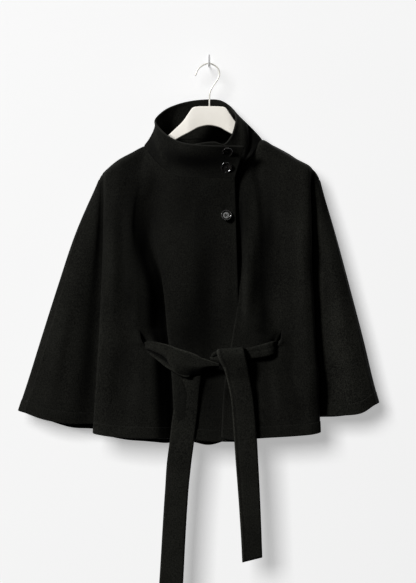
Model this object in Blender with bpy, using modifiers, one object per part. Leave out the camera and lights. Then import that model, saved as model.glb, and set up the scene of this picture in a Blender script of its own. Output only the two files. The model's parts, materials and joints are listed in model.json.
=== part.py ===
"""A wool cape jacket with a funnel collar and a tied belt, hanging on a hanger.

The origin is the inner top of the hanger's hook, where a rail or a wall hook holds it.
The front faces -Y, the wearer's right is at -X and +Z is up. Tables are in millimetres.
"""

import math
from collections import namedtuple

import bmesh
import bpy
import numpy as np
from mathutils import Matrix, Vector

MM = 0.001

# Driving dimensions
CLOTH = 2.4            # wall of the double-faced wool
COLLAR_WALL = 4.6      # two layers of it, seamed at the rim
BELT_WALL = 4.2        # two layers, pressed flat
EDGE_GAP = 1.1         # between the middles of two walls whose edges meet at an angle
SHOULDER_ROLL = 14.0   # height in which the cloth rolls over the hanger
CHEST, CROSS, SLIT, HIP = -357.0, -490.0, -594.0, -690.0   # heights that the tables use
UNDERARM = 2.9         # station where sleeve and body part
BUTTON_RADIUS = 12.0
BUTTON_THICKNESS = 3.6
WIRE_RADIUS = 1.65

# Rows of a panel, in stations: 0 top edge, 1 chest, 2 crossing, 3 slit, 4 hip, 5 hem
ROWS = (0, 0.03, 0.09, 0.2, 0.4, 0.65, 1, 1.35, 1.7, 1.88, 2, 2.12, 2.45, 2.75,
        2.9, 3.02, 3.14, 3.27, 3.6, 4, 4.35, 4.7, 5)
SLIT_ROWS = (2.75, 3.27)
BACK_ROWS = (0, 0.03, 0.09, 0.2, 0.45, 0.8, 1.2, 1.6, 2, 2.45, 2.9, 3.2, 3.6, 4, 4.35, 4.7, 5)

# One line down a panel: heights of its ends, x and y at the six stations, columns to the next
Line = namedtuple("Line", "name top hem x y columns")

RIGHT_BODY = (
    Line("front edge", -245, -812, (54, 57, 60.8, 61.6, 63, 64), (-53, -55, -50, -45, -44, -43), 2),
    Line("centre", -245, -811, (-6, 4, 14, 19, 18, 17), (-52, -56, -56, -50, -48, -47), 2),
    Line("chest", -244, -810, (-50, -50, -34, -26, -24, -24), (-48, -54, -56, -55, -53, -50), 1),
    Line("inside fold", -237, -809, (-77, -82, -62, -54, -52, -50), (-42, -52, -55, -55, -54, -50), 2),
    Line("fold edge", -219, -808, (-104, -120, -96, -90, -83, -76), (-32, -47, -53, -53, -52, -49), 2),
    Line("fold valley", -196, -807, (-125, -140, -112, -103, -98, -93), (-17, -38, -29, -25, -24, -25), 1),
    Line("slit", -178, -807, (-138, -160, -148, -141, -139, -137), (-18, -42, -41, -41, -39, -38), 2),
    Line("soft ridge", -191, -805, (-165, -182, -180, -180, -181, -182), (-19, -41, -49, -51, -52, -50), 2),
    Line("side front", -208, -801, (-196, -205, -209, -213, -218, -223), (-20, -34, -39, -42, -44, -45), 1),
    Line("side ridge", -228, -794, (-221, -226, -231, -236, -242, -248), (-20, -26, -30, -33, -34, -35), 2),
    Line("side flap", -232, -789, (-224, -223, -218, -209, -206, -203), (-16, -14, -13, -9, -11, -12), 1),
    Line("side seam", -235, -787, (-227, -221, -215, -207, -204, -201), (-13, -11, -7, -0.5, -0.5, -0.5), 1),
)
RIGHT_SLEEVE = (
    Line("sleeve seam", -235, -771, (-227, -221, -215, -213, -216, -218), (-13, -11, -7, -0.5, -0.5, -0.5), 1),
    Line("sleeve turn", -239, -771, (-230, -229, -223, -215, -218, -220), (-12, -13, -12, -8, -8, -8), 2),
    Line("sleeve front", -243, -771, (-232, -243, -253, -264, -276, -290), (-10, -16, -17, -17, -17, -17), 3),
    Line("sleeve outer", -247, -762, (-234, -260, -284, -308, -331, -352), (-7, -14, -16, -16, -16, -16), 2),
    Line("over-arm seam", -251, -747, (-236, -278, -316, -347, -376, -397), (-1.5, -8, -9, -9, -9, -9), 1),
)
LEFT_BODY = (
    Line("front edge", -242, -801, (13, 29, 63.6, 50, 34, 28), (-44, -44, -47.5, -56, -55, -53), 2),
    Line("inner valley", -239, -806, (37, 62, 72, 64, 52, 46), (-43, -41, -49, -57, -56, -54), 2),
    Line("front ridge", -227, -805, (66, 80, 82, 80, 72, 68), (-39, -52, -52, -56, -54, -53), 2),
    Line("chest", -208, -804, (84, 104, 105, 106, 104, 102), (-32, -48, -48, -51, -49, -47), 1),
    Line("soft valley", -189, -803, (98, 122, 123, 128, 130, 128), (-20, -43, -41, -46, -46, -45), 1),
    Line("slit", -164, -803, (113, 148, 149, 150, 152, 154), (-17, -44, -46, -46, -47, -47), 2),
    Line("side valley", -179, -800, (142, 168, 172, 177, 186, 190), (-18, -41, -44, -44, -37, -40), 2),
    Line("side front", -203, -796, (184, 196, 199, 205, 210, 214), (-20, -35, -40, -43, -46, -46), 1),
    Line("side ridge", -218, -790, (213, 217, 219, 226, 232, 236), (-20, -25, -29, -32, -34, -34), 2),
    Line("side flap", -222, -786, (218, 214, 209, 201, 197, 194), (-16, -14, -12, -9, -11, -12), 1),
    Line("side seam", -227, -784, (222, 212, 206, 198, 195, 192), (-13, -11, -7, -0.5, -0.5, -0.5), 1),
)
LEFT_SLEEVE = (
    Line("sleeve seam", -227, -753, (222, 212, 206, 204, 207, 209), (-13, -11, -7, -0.5, -0.5, -0.5), 1),
    Line("sleeve turn", -231, -753, (226, 221, 214, 206, 209, 211), (-12, -13, -12, -8, -8, -8), 2),
    Line("sleeve front", -236, -753, (230, 238, 248, 257, 265, 272), (-10, -16, -17, -17, -17, -17), 3),
    Line("sleeve outer", -243, -748, (234, 251, 275, 294, 311, 322), (-7, -14, -16, -16, -16, -16), 2),
    Line("over-arm seam", -251, -730, (237, 264, 297, 323, 345, 355), (-1.5, -8, -9, -9, -9, -9), 1),
)
BACK_MIDDLE = (
    Line("side front", -208, -804, (-196, -203, -208, -212, -216, -220), (20, 33, 39, 42, 43, 44), 2),
    Line("soft ridge", -191, -808, (-165, -172, -174, -176, -178, -180), (19, 41, 46, 48, 50, 50), 2),
    Line("right neck", -178, -811, (-138, -140, -138, -138, -138, -138), (18, 41, 40, 38, 37, 37), 1),
    Line("right curve", -166, -813, (-124, -120, -118, -117, -116, -115), (19, 42, 42, 42, 43, 44), 1),
    Line("right flute", -160, -814, (-95, -98, -98, -96, -94, -92), (30, 43, 44, 46, 48, 49), 2),
    Line("right valley", -159, -816, (-50, -52, -52, -50, -50, -50), (36, 43, 41, 40, 39, 38), 2),
    Line("centre", -158, -817, (0, 0, 0, 0, 0, 0), (38, 43, 44, 45, 46, 46), 2),
    Line("left valley", -157, -815, (50, 52, 52, 52, 50, 50), (36, 43, 42, 41, 40, 39), 2),
    Line("left flute", -157, -812, (92, 96, 98, 98, 98, 98), (24, 42, 45, 48, 49, 50), 2),
    Line("left neck", -164, -808, (113, 136, 138, 140, 140, 140), (17, 41, 40, 38, 37, 36), 2),
    Line("side ridge", -192, -803, (168, 178, 180, 182, 184, 186), (20, 40, 45, 48, 50, 50), 2),
    Line("side front", -206, -798, (190, 200, 203, 206, 210, 214), (20, 34, 39, 42, 43, 44), 1),
)

# One station round the neck: the seam, the rim above it, how far the middle bulges out and
# how far the collar starts above the seam, which is more where it leans from the cloth below
Station = namedtuple("Station", "seam rim bulge lift")
NECK = (
    Station((54, -245, -53), (73, -181, -45), 2, 0.5),
    Station((-6, -245, -52), (10, -181, -47), 3, 0.8),
    Station((-50, -244, -48), (-32, -178, -45), 3, 1.2),
    Station((-77, -237, -42), (-56, -174, -39), 3, 1.6),
    Station((-104, -219, -32), (-77, -165, -31), 3, 1.7),
    Station((-125, -196, -17), (-97, -150, -18), 3, 2.6),
    Station((-138, -178, 0), (-115, -123, 0), 1, 2.6),
    Station((-124, -166, 19), (-95, -99, 19), 2, 2),
    Station((-95, -160, 30), (-68, -86, 29), 2, 1),
    Station((-50, -159, 36), (-36, -78, 34), 2, 0.6),
    Station((0, -158, 38), (-2, -75, 36), 2, 0.6),
    Station((50, -157, 36), (24, -77, 34), 1, 0.8),
    Station((92, -157, 24), (47, -92, 22), -2, 2),
    Station((113, -164, 0), (58, -111, 0), 6, 2.4),
    Station((98, -189, -20), (56, -136, -17), -3, 2.6),
    Station((84, -208, -32), (47, -158, -27), -4, 2),
    Station((66, -227, -39), (32, -173, -31), 0, 1.5),
    Station((37, -239, -43), (10, -168, -35), 0, 1.4),
    Station((13, -243, -44), (-30, -173, -38), 0, 1.3),
)
COLLAR_COLUMNS = 2
COLLAR_ROWS = (0, 0.08, 0.36, 0.66, 0.92, 1)

# One section of a belt stretch: its centre, half its width, and how round its edges are
Section = namedtuple("Section", "x y z half")
BELT_RUNS = {
    "belt_right_run": (
        Section(-140, -41, -599, 8), Section(-128, -49, -601, 10), Section(-112, -56, -608, 15),
        Section(-94, -60, -620, 22), Section(-74, -63, -631, 26), Section(-52, -65, -639, 27),
        Section(-28, -65.2, -645, 24), Section(-6, -64.5, -644, 16), Section(16.6, -63.5, -639, 11),
    ),
    "belt_left_run": (
        Section(74.4, -64.5, -621, 12), Section(92, -62.5, -620, 12), Section(110, -59, -616, 14),
        Section(128, -57.5, -610, 15.5), Section(140, -54.5, -601, 12), Section(149.9, -46.6, -599, 7.5),
    ),
    "belt_inside": (
        Section(-140.3, -40.8, -599, 7.5), Section(-152, -33, -597, 11), Section(-166, -14, -601, 20),
        Section(-172, 4, -602, 23), Section(-160, 20, -603, 24), Section(-120, 28, -604, 24),
        Section(-60, 30, -605, 24), Section(0, 31, -606, 24), Section(60, 30, -605, 24),
        Section(120, 28, -604, 24), Section(156, 20, -604, 24), Section(168, 4, -604, 23),
        Section(169, -14, -602, 20), Section(160, -38.5, -597, 11), Section(150.2, -46.35, -599, 7.5),
    ),
}
BELT_ENDS = {
    "belt_left_end": (
        Section(46, -60.2, -612, 24), Section(46, -65.2, -606, 29), Section(47, -71.2, -610, 30),
        Section(50, -74, -622, 29), Section(58, -73.5, -645, 25), Section(65, -70.5, -676, 24),
        Section(71, -66, -716, 24), Section(76, -62.5, -778, 24.5), Section(81, -60, -856, 24),
        Section(86, -58.5, -935, 23), Section(90, -58, -1013, 22), Section(92, -58, -1060, 21.5),
    ),
    "belt_right_end": (
        Section(-30, -60.3, -658, 15), Section(-36, -60.3, -676, 20), Section(-41, -60.2, -692, 22.5),
        Section(-49, -60, -740, 26), Section(-54, -59.6, -778, 26.5), Section(-59, -59, -817, 26),
        Section(-64, -58.5, -856, 26), Section(-69, -58, -916, 25), Section(-74, -57, -993, 25),
        Section(-81, -56, -1116, 25.5), Section(-84, -56, -1152, 25),
    ),
}
BELT_TIP_SLANT = 9.0
SLIT_HALF_OPENING = 8.0

# One section of the hanger's body, from the middle out: top, underside and half its depth
HANGER_SECTIONS = (
    (0, -91, -132, 6), (24, -91.5, -137, 6.2), (35, -94, -143, 6.5), (44, -106, -148, 6.8),
    (56, -123, -154, 6), (70, -137, -162, 5.5), (93, -158, -177, 5.5), (120, -177.5, -195, 5.5),
    (150, -188, -209, 7.5), (180, -205, -225, 10.5), (204, -218, -239, 13), (216, -229, -246, 10),
)
HOOK_TURNS = (
    (-29, -24), (-25.5, -14), (-20, -7), (-9, -0.4), (0, 1.65), (9.5, -1.5), (16, -6), (20, -11),
    (22.3, -20.5), (19.5, -30.5), (12, -42), (5, -53), (1.5, -63), (1, -76), (1, -90.6),
)

BUTTONS = (   # place on the overlap, how far it stands forward and its tilt in degrees
    ("button_top", 39, -52.1, -191.5, 16),
    ("button_middle", 37, -55.4, -225, 2),
    ("button_lower", 37, -56.95, -327, -1),
)
BUTTON_PROFILE = ((0, 0.55), (0.62, 0.5), (0.74, 0.95), (0.88, 1), (1, 0.62), (1, 0.3), (0.84, 0), (0, 0))

COLOURS = {
    "wool": ((0.009, 0.0085, 0.008), 0.95),
    "button": ((0.012, 0.012, 0.013), 0.2),
    "hanger": ((0.80, 0.77, 0.70), 0.45),
    "wire": ((0.78, 0.77, 0.75), 0.35),
}


def start_scene():
    for old in list(bpy.data.objects):
        bpy.data.objects.remove(old, do_unlink=True)
    parts = bpy.data.collections.new("belted jacket")
    cutters = bpy.data.collections.new("cutters")
    bpy.context.scene.collection.children.link(parts)
    bpy.context.scene.collection.children.link(cutters)
    return parts, cutters


def material_for(node, kind):
    colour, roughness = COLOURS[kind]
    material = bpy.data.materials.new(node)
    material.use_nodes = True
    shader = material.node_tree.nodes["Principled BSDF"]
    shader.inputs["Base Color"].default_value = (*colour, 1)
    shader.inputs["Roughness"].default_value = roughness
    return material


def add_object(name, mesh, kind, collection):
    item = bpy.data.objects.new(name, mesh)
    collection.objects.link(item)
    mesh.materials.append(material_for(name, kind))
    mesh.shade_smooth()
    return item


def add_wall(item, thickness):
    """Give an open surface a wall of even thickness about its middle."""
    wall = item.modifiers.new("wall", "SOLIDIFY")
    wall.thickness = thickness * MM
    wall.offset = 0
    wall.use_even_offset = False


def smooth_value(knots, values, at):
    """Smooth curve through values at uneven knots, with no overshoot of the ends."""
    knots = np.asarray(knots, float)
    values = np.asarray(values, float)
    slopes = np.gradient(values, knots)
    i = int(np.clip(np.searchsorted(knots, at, side="right") - 1, 0, len(knots) - 2))
    span = knots[i + 1] - knots[i]
    t = (at - knots[i]) / span
    t2, t3 = t * t, t * t * t
    return ((2 * t3 - 3 * t2 + 1) * values[i] + (t3 - 2 * t2 + t) * span * slopes[i]
            + (3 * t2 - 2 * t3) * values[i + 1] + (t3 - t2) * span * slopes[i + 1])


def through(points, index, t):
    """Point at t between points[index] and the next, on a centripetal spline through all."""
    p1, p2 = points[index], points[index + 1]
    p0 = points[index - 1] if index > 0 else 2 * p1 - p2
    p3 = points[index + 2] if index + 2 < len(points) else 2 * p2 - p1
    k1 = math.sqrt(max(np.linalg.norm(p1 - p0), 1e-6))
    k2 = k1 + math.sqrt(max(np.linalg.norm(p2 - p1), 1e-6))
    k3 = k2 + math.sqrt(max(np.linalg.norm(p3 - p2), 1e-6))
    at = k1 + t * (k2 - k1)
    a1 = p0 + (p1 - p0) * at / k1
    a2 = p1 + (p2 - p1) * (at - k1) / (k2 - k1)
    a3 = p2 + (p3 - p2) * (at - k2) / (k3 - k2)
    b1 = a1 + (a2 - a1) * at / k2
    b2 = a2 + (a3 - a2) * (at - k1) / (k3 - k1)
    return b1 + (b2 - b1) * (at - k1) / (k2 - k1)


def mirrored_in_depth(lines):
    """The back of a front's lines."""
    return tuple(line._replace(y=tuple(-value for value in line.y)) for line in lines)


def line_point(line, row, on_shoulder):
    """A point on a line down a panel. Shoulder lines start above the hanger and roll over it."""
    heights = (line.top, CHEST, CROSS, SLIT, HIP, line.hem)
    step = min(int(row), 4)
    z = heights[step] + (heights[step + 1] - heights[step]) * (row - step)
    down = [-height for height in heights]
    x = smooth_value(down, line.x, -z)
    y = smooth_value(down, line.y, -z)
    if line.name.endswith("seam") and line.name != "over-arm seam":
        y = math.copysign(max(abs(y), 0.8 if row > UNDERARM else 1.8), line.y[0])
    if on_shoulder:
        drop = min(1, (line.top - z) / SHOULDER_ROLL)
        seam_y = math.copysign(EDGE_GAP * 0.75, y)
        y = seam_y + (y - seam_y) * math.sqrt(1 - (1 - drop) ** 2)
    return np.array((x, y, z))


def panel_point(strips, strip, place, row, shoulder):
    """A point on a panel: strips of lines side by side, which part below the underarm."""
    rows_of_points = [
        [line_point(line, row, shoulder(line)) for line in lines] for lines in strips
    ]
    index = min(int(place), len(strips[strip]) - 2)
    if row > UNDERARM:
        return through(rows_of_points[strip], index, place - index)
    joined = list(rows_of_points[0])
    for points in rows_of_points[1:]:
        joined[-1] = (joined[-1] + points[0]) / 2
        joined.extend(points[1:])
    before = sum(len(lines) - 1 for lines in strips[:strip])
    return through(joined, before + index, place - index)


def panel_columns(strips):
    """The (strip, place) of each column of a panel, and the columns where its strips meet."""
    columns = []
    joints = []
    for number, lines in enumerate(strips):
        for i, line in enumerate(lines[:-1]):
            columns.extend((number, i + k / line.columns) for k in range(line.columns))
        joints.append(len(columns))
    columns.append((len(strips) - 1, len(strips[-1]) - 1.0))
    return columns, joints[:-1]


def split_column(mesh, grid, column, rows, top, bottom):
    """Part the grid along a column between two rows, and say which side each copy is on."""
    inside = [edge for edge in mesh.edges
              if all(grid[vert][0] == column for vert in edge.verts)
              and all(top <= rows[grid[vert][1]] <= bottom for vert in edge.verts)]
    places = {(round(vert.co.x, 4), round(vert.co.y, 4)): grid[vert] for vert in grid}
    bmesh.ops.split_edges(mesh, edges=inside)
    return {vert: places[round(vert.co.x, 4), round(vert.co.y, 4)] for vert in mesh.verts}


def side_of(vert):
    """-1 where a vertex's faces lie on the lower-numbered columns, 1 on the higher, else 0."""
    lean = sum(face.calc_center_median().x - vert.co.x for face in vert.link_faces)
    return 0 if abs(lean) < 1e-5 else (1 if lean > 0 else -1)


def build_panel(name, strips, rows, shoulder, collection, slit_line=None, slit_out=1):
    """A cut panel: a grid shaped through its lines, parted at underarm and slit, with a wall."""
    columns, joints = panel_columns(strips)
    across, down = len(columns) - 1, len(rows) - 1
    mesh = bmesh.new()
    bmesh.ops.create_grid(mesh, x_segments=across, y_segments=down, size=0.5)
    grid = {vert: (round((vert.co.x + 0.5) * across), round((0.5 - vert.co.y) * down))
            for vert in mesh.verts}
    for joint in joints:
        grid = split_column(mesh, grid, joint, rows, UNDERARM, rows[-1])
    slit_column = None
    if slit_line is not None:
        slit_column = columns.index((0, float(slit_line)))
        grid = split_column(mesh, grid, slit_column, rows, *SLIT_ROWS)
    placed = {}
    for vert, (column, number) in grid.items():
        row = rows[number]
        strip, place = columns[column]
        side = side_of(vert)
        if column in joints and side < 0:
            strip, place = strip - 1, len(strips[strip - 1]) - 1.0
        point = panel_point(strips, strip, place, row, shoulder)
        if len(strips) == 2:
            point[1] = min(point[1], -EDGE_GAP * 0.75)
        elif strip == 1:
            point[1] = max(point[1], EDGE_GAP * 0.75)
        if column == slit_column and side and SLIT_ROWS[0] < row < SLIT_ROWS[1]:
            part = (row - SLIT_ROWS[0]) / (SLIT_ROWS[1] - SLIT_ROWS[0])
            opening = math.sin(math.pi * part)
            point[0] += side * slit_out * EDGE_GAP
            point[1] -= side * SLIT_HALF_OPENING * opening
        placed[vert] = Vector(point) * MM
    for vert, point in placed.items():
        vert.co = point
    data = bpy.data.meshes.new(name)
    mesh.to_mesh(data)
    mesh.free()
    item = add_object(name, data, "wool", collection)
    add_wall(item, CLOTH)
    return item


def build_panels(collection):
    neck_lines = {"front edge", "centre", "chest", "inside fold", "fold edge", "fold valley",
                  "inner valley", "front ridge", "soft valley", "right curve", "right flute", "right valley",
                  "left valley", "left flute"}

    def shoulder(line):
        return line.name not in neck_lines

    build_panel("front_right", (RIGHT_BODY, RIGHT_SLEEVE), ROWS, shoulder, collection,
                slit_line=6, slit_out=-1)
    build_panel("front_left", (LEFT_BODY, LEFT_SLEEVE), ROWS, shoulder, collection,
                slit_line=5, slit_out=1)
    right_body = mirrored_in_depth(RIGHT_BODY[-3:])
    left_body = mirrored_in_depth(LEFT_BODY[-3:])
    right_sleeve = mirrored_in_depth(RIGHT_SLEEVE)
    left_sleeve = mirrored_in_depth(LEFT_SLEEVE)
    middle = tuple(reversed(right_body)) + BACK_MIDDLE + left_body
    strips = (back_sleeve(right_sleeve, -1), middle, tuple(reversed(back_sleeve(left_sleeve, 1))))
    build_panel("back", with_columns(strips), BACK_ROWS, shoulder, collection)


def back_sleeve(lines, side):
    """A back sleeve's lines from its over-arm seam, which lies just round on the front."""
    seam = lines[-1]
    gap = side * EDGE_GAP
    near = seam._replace(x=tuple(x + gap for x in seam.x),
                         y=(0.3,) + tuple(EDGE_GAP / 2 - y for y in seam.y[1:]))
    edge_x = (235.4, 283, 328, 361, 391, 409) if side < 0 else (236, 268, 304, 331, 354, 364)
    edge = seam._replace(name="sleeve edge", x=tuple(side * x for x in edge_x),
                         y=(2, 0, 0, 0, 0, 0), top=seam.top + 2, hem=seam.hem + 3)
    outer = lines[-2]._replace(y=tuple(y + 1 for y in lines[-2].y))
    return (near, edge, outer) + tuple(reversed(lines[:-2]))


def with_columns(strips):
    """Spread a back's columns: two between the lines of the sleeves' wide stretches."""
    counts = {"over-arm seam": 1, "sleeve edge": 3, "sleeve outer": 3, "sleeve front": 2,
              "sleeve turn": 1}
    left_counts = {"sleeve seam": 1, "sleeve turn": 2, "sleeve front": 3, "sleeve outer": 3,
                   "sleeve edge": 1}
    first = tuple(line._replace(columns=counts.get(line.name, line.columns)) for line in strips[0])
    last = tuple(line._replace(columns=left_counts.get(line.name, line.columns)) for line in strips[2])
    return first, strips[1], last


def build_collar(collection):
    """The standing collar: one strip from the overlap's edge round the neck to the end under it."""
    seam = [np.array((s.seam[0], s.seam[2], s.seam[1]), float) for s in NECK]
    rim = [np.array((s.rim[0], s.rim[2], s.rim[1]), float) for s in NECK]
    across, down = (len(NECK) - 1) * COLLAR_COLUMNS, len(COLLAR_ROWS) - 1
    mesh = bmesh.new()
    bmesh.ops.create_grid(mesh, x_segments=across, y_segments=down, size=0.5)
    for vert in mesh.verts:
        column = round((vert.co.x + 0.5) * across)
        height = COLLAR_ROWS[round((vert.co.y + 0.5) * down)]
        index = min(column // COLLAR_COLUMNS, len(NECK) - 2)
        t = column / COLLAR_COLUMNS - index
        low, high = through(seam, index, t), through(rim, index, t)
        lift = NECK[index].lift * (1 - t) + NECK[index + 1].lift * t
        low = low + (high - low) / np.linalg.norm(high - low) * lift
        ahead = through(seam, index, min(t + 0.01, 1)) - through(seam, index, max(t - 0.01, 0))
        outward = np.array((ahead[1], -ahead[0], 0)) / max(np.hypot(ahead[0], ahead[1]), 1e-6)
        bulge = NECK[index].bulge * (1 - t) + NECK[index + 1].bulge * t
        vert.co = Vector(low + (high - low) * height
                         - outward * bulge * 4 * height * (1 - height)) * MM
    data = bpy.data.meshes.new("collar")
    mesh.to_mesh(data)
    mesh.free()
    item = add_object("collar", data, "wool", collection)
    add_wall(item, COLLAR_WALL)


def flat_section(half, wall):
    """Outline of a pressed band's cross-section: thin, with round edges."""
    round_in = min(wall, half) * 0.5
    return ((-half, 0), (-half + round_in, -wall / 2), (0, -wall / 2), (half - round_in, -wall / 2),
            (half, 0), (half - round_in, wall / 2), (0, wall / 2), (-half + round_in, wall / 2))


def build_band(name, sections, upright, collection, slant=0):
    """A stretch of belt lofted through its sections. Upright bands run across, others hang."""
    centres = [np.array((s.x, s.y, s.z), float) for s in sections]
    rings = []
    mesh = bmesh.new()
    across = np.array((0, 0, 1.0) if upright else (1.0, 0, 0))
    for i in range(len(sections)):
        ahead = centres[min(i + 1, len(centres) - 1)] - centres[max(i - 1, 0)]
        normal = np.cross(ahead, across)
        normal /= np.linalg.norm(normal)
        wide = np.cross(normal, ahead)
        wide /= np.linalg.norm(wide)
        ring = []
        for w, n in flat_section(sections[i].half, BELT_WALL):
            point = centres[i] + wide * w + normal * n
            if slant and i == len(sections) - 1:
                point[2] += slant * w / sections[i].half
            ring.append(mesh.verts.new(point * MM))
        rings.append(ring)
    for ring, following in zip(rings, rings[1:]):
        for k in range(len(ring)):
            after = (k + 1) % len(ring)
            mesh.faces.new((ring[k], ring[after], following[after], following[k]))
    mesh.faces.new(rings[0])
    mesh.faces.new(tuple(reversed(rings[-1])))
    bmesh.ops.recalc_face_normals(mesh, faces=mesh.faces)
    data = bpy.data.meshes.new(name)
    mesh.to_mesh(data)
    mesh.free()
    return add_object(name, data, "wool", collection)


def build_belt(collection):
    for name, sections in BELT_RUNS.items():
        build_band(name, sections, True, collection)
    for name, sections in BELT_ENDS.items():
        side = 1 if name == "belt_left_end" else 0.6
        build_band(name, sections, False, collection, slant=BELT_TIP_SLANT * side / 2)
    build_knot(collection)


def build_knot(collection):
    """The turns of the half knot that the hanging end hides."""
    mesh = bmesh.new()
    bmesh.ops.create_cube(mesh, size=1)
    size = Vector((56, 9, 26)) * MM
    bmesh.ops.scale(mesh, vec=size, verts=mesh.verts)
    bmesh.ops.bevel(mesh, geom=mesh.edges, offset=3 * MM, segments=1, affect="EDGES")
    data = bpy.data.meshes.new("belt_knot")
    mesh.to_mesh(data)
    mesh.free()
    item = add_object("belt_knot", data, "wool", collection)
    item.location = Vector((45, -63.2, -626.8)) * MM


def build_hanger(collection):
    """The moulded body: sections across, lofted from one end over the middle to the other."""
    sections = [(-x, top, low, half) for x, top, low, half in reversed(HANGER_SECTIONS[1:])]
    sections += list(HANGER_SECTIONS)
    rings = []
    mesh = bmesh.new()
    for x, top, low, half in sections:
        middle, rise = (top + low) / 2, (top - low) / 2
        ring = []
        for step in range(12):
            angle = 2 * math.pi * step / 12
            sideways = math.copysign(abs(math.sin(angle)) ** 0.8, math.sin(angle))
            upward = math.copysign(abs(math.cos(angle)) ** 0.8, math.cos(angle))
            ring.append(mesh.verts.new(Vector((x, half * sideways, middle + rise * upward)) * MM))
        rings.append(ring)
    for ring, following in zip(rings, rings[1:]):
        for k in range(12):
            after = (k + 1) % 12
            mesh.faces.new((ring[k], ring[after], following[after], following[k]))
    mesh.faces.new(rings[0])
    mesh.faces.new(tuple(reversed(rings[-1])))
    bmesh.ops.recalc_face_normals(mesh, faces=mesh.faces)
    data = bpy.data.meshes.new("hanger")
    mesh.to_mesh(data)
    mesh.free()
    add_object("hanger", data, "hanger", collection)


def build_hook(collection):
    """The wire hook, a bent rod that stands in the hanger's top."""
    points = [np.array((x, 0, z), float) for x, z in HOOK_TURNS]
    curve = bpy.data.curves.new("hanger_hook", "CURVE")
    curve.dimensions = "3D"
    curve.bevel_depth = WIRE_RADIUS * MM
    curve.bevel_resolution = 2
    curve.use_fill_caps = True
    route = [through(points, i, k / 2) for i in range(len(points) - 1) for k in range(2)]
    route.append(points[-1])
    spline = curve.splines.new("POLY")
    spline.points.add(len(route) - 1)
    for spot, point in zip(spline.points, route):
        spot.co = (*(point * MM), 1)
    item = bpy.data.objects.new("hanger_hook", curve)
    collection.objects.link(item)
    curve.materials.append(material_for("hanger_hook", "wire"))


def build_buttons(parts, cutters):
    """Four-hole buttons: a turned profile with a raised rim, cut by four drills."""
    drills = bmesh.new()
    for x in (-1, 1):
        for y in (-1, 1):
            made = bmesh.ops.create_cone(drills, cap_ends=True, segments=6, radius1=1.1 * MM,
                                         radius2=1.1 * MM, depth=12 * MM)
            bmesh.ops.translate(drills, verts=made["verts"], vec=Vector((x * 1.9, y * 1.9, 2)) * MM)
    drill_mesh = bpy.data.meshes.new("button holes")
    drills.to_mesh(drill_mesh)
    drills.free()
    for name, x, y, z, tilt in BUTTONS:
        profile = bmesh.new()
        spots = [profile.verts.new(Vector((r * BUTTON_RADIUS, 0, h * BUTTON_THICKNESS)) * MM)
                 for r, h in BUTTON_PROFILE]
        for a, b in zip(spots, spots[1:]):
            profile.edges.new((a, b))
        mesh = bpy.data.meshes.new(name)
        profile.to_mesh(mesh)
        profile.free()
        item = add_object(name, mesh, "button", parts)
        turn = item.modifiers.new("turn", "SCREW")
        turn.steps = turn.render_steps = 20
        turn.use_merge_vertices = True
        turn.merge_threshold = 0.00001
        drill = bpy.data.objects.new(name + " holes", drill_mesh)
        drill.hide_render = True
        drill.display_type = "WIRE"
        cutters.objects.link(drill)
        place = Matrix.Translation(Vector((x, y, z)) * MM) @ Matrix.Rotation(math.radians(90 - tilt), 4, "X")
        item.matrix_world = place
        drill.matrix_world = place
        cut = item.modifiers.new("holes", "BOOLEAN")
        cut.object = drill
        cut.operation = "DIFFERENCE"


def main():
    parts, cutters = start_scene()
    build_panels(parts)
    build_collar(parts)
    build_belt(parts)
    build_hanger(parts)
    build_hook(parts)
    build_buttons(parts, cutters)


main()
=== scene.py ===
import json
import math

import bmesh
import bpy
import numpy as np
from mathutils import Matrix, Vector

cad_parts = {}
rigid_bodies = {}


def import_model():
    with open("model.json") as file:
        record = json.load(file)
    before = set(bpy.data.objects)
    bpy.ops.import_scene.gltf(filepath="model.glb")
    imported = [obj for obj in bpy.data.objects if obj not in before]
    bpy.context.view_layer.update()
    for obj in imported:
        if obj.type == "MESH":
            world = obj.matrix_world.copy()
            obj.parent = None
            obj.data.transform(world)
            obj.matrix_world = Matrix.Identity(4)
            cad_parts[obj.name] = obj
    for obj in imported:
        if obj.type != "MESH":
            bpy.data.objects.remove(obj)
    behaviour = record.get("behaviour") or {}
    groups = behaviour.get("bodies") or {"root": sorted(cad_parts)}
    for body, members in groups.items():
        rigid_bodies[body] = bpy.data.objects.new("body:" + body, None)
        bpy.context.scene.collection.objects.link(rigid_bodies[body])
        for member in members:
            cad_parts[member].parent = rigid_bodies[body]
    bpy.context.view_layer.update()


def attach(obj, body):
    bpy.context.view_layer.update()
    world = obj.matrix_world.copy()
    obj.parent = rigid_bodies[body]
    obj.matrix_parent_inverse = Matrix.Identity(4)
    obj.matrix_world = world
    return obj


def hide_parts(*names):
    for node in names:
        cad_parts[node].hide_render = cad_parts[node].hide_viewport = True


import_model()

mm = 0.001

# What a user may want to change about the cloth, in mm
cloth = {
    "wall": 2.4,             # double-faced wool
    "collarWall": 4.6,       # two layers
    "edgeWall": 3.4,         # turned front edge
    "hemWall": 3.7,          # turned-up hem
    "hemDepth": 23.0,        # from the hem up to its stitch line
    "stitchSink": 0.25,      # how deep that line lies in the cloth
    "spacing": 4.6,          # between the columns of a panel
    "edgeGap": 1.1,          # between front and back at the side seams
    "shoulderRoll": 14.0,    # over the hanger
    "unevenness": 0.7,       # of cloth that has been worn and pressed
}

stationHeights = (-357.0, -490.0, -594.0, -690.0)   # chest, crossing, slit, hip
underarm = 2.9               # below this station a panel is parted into body and sleeve
slitRows = (2.75, 3.13)      # stations of the slit's upper and lower ends
slitSlant = (8.0, -7.0)      # how far the slit's upper and lower ends lean outwards
slitGap = 4.6                # from its middle to each edge
hemStation = 4.79            # the hem's stitch line
stationPerMm = (5 - hemStation) / cloth["hemDepth"]      # within the hem
seamHalf = cloth["edgeGap"] * 0.75      # least depth of a panel before or behind its side seam

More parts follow.
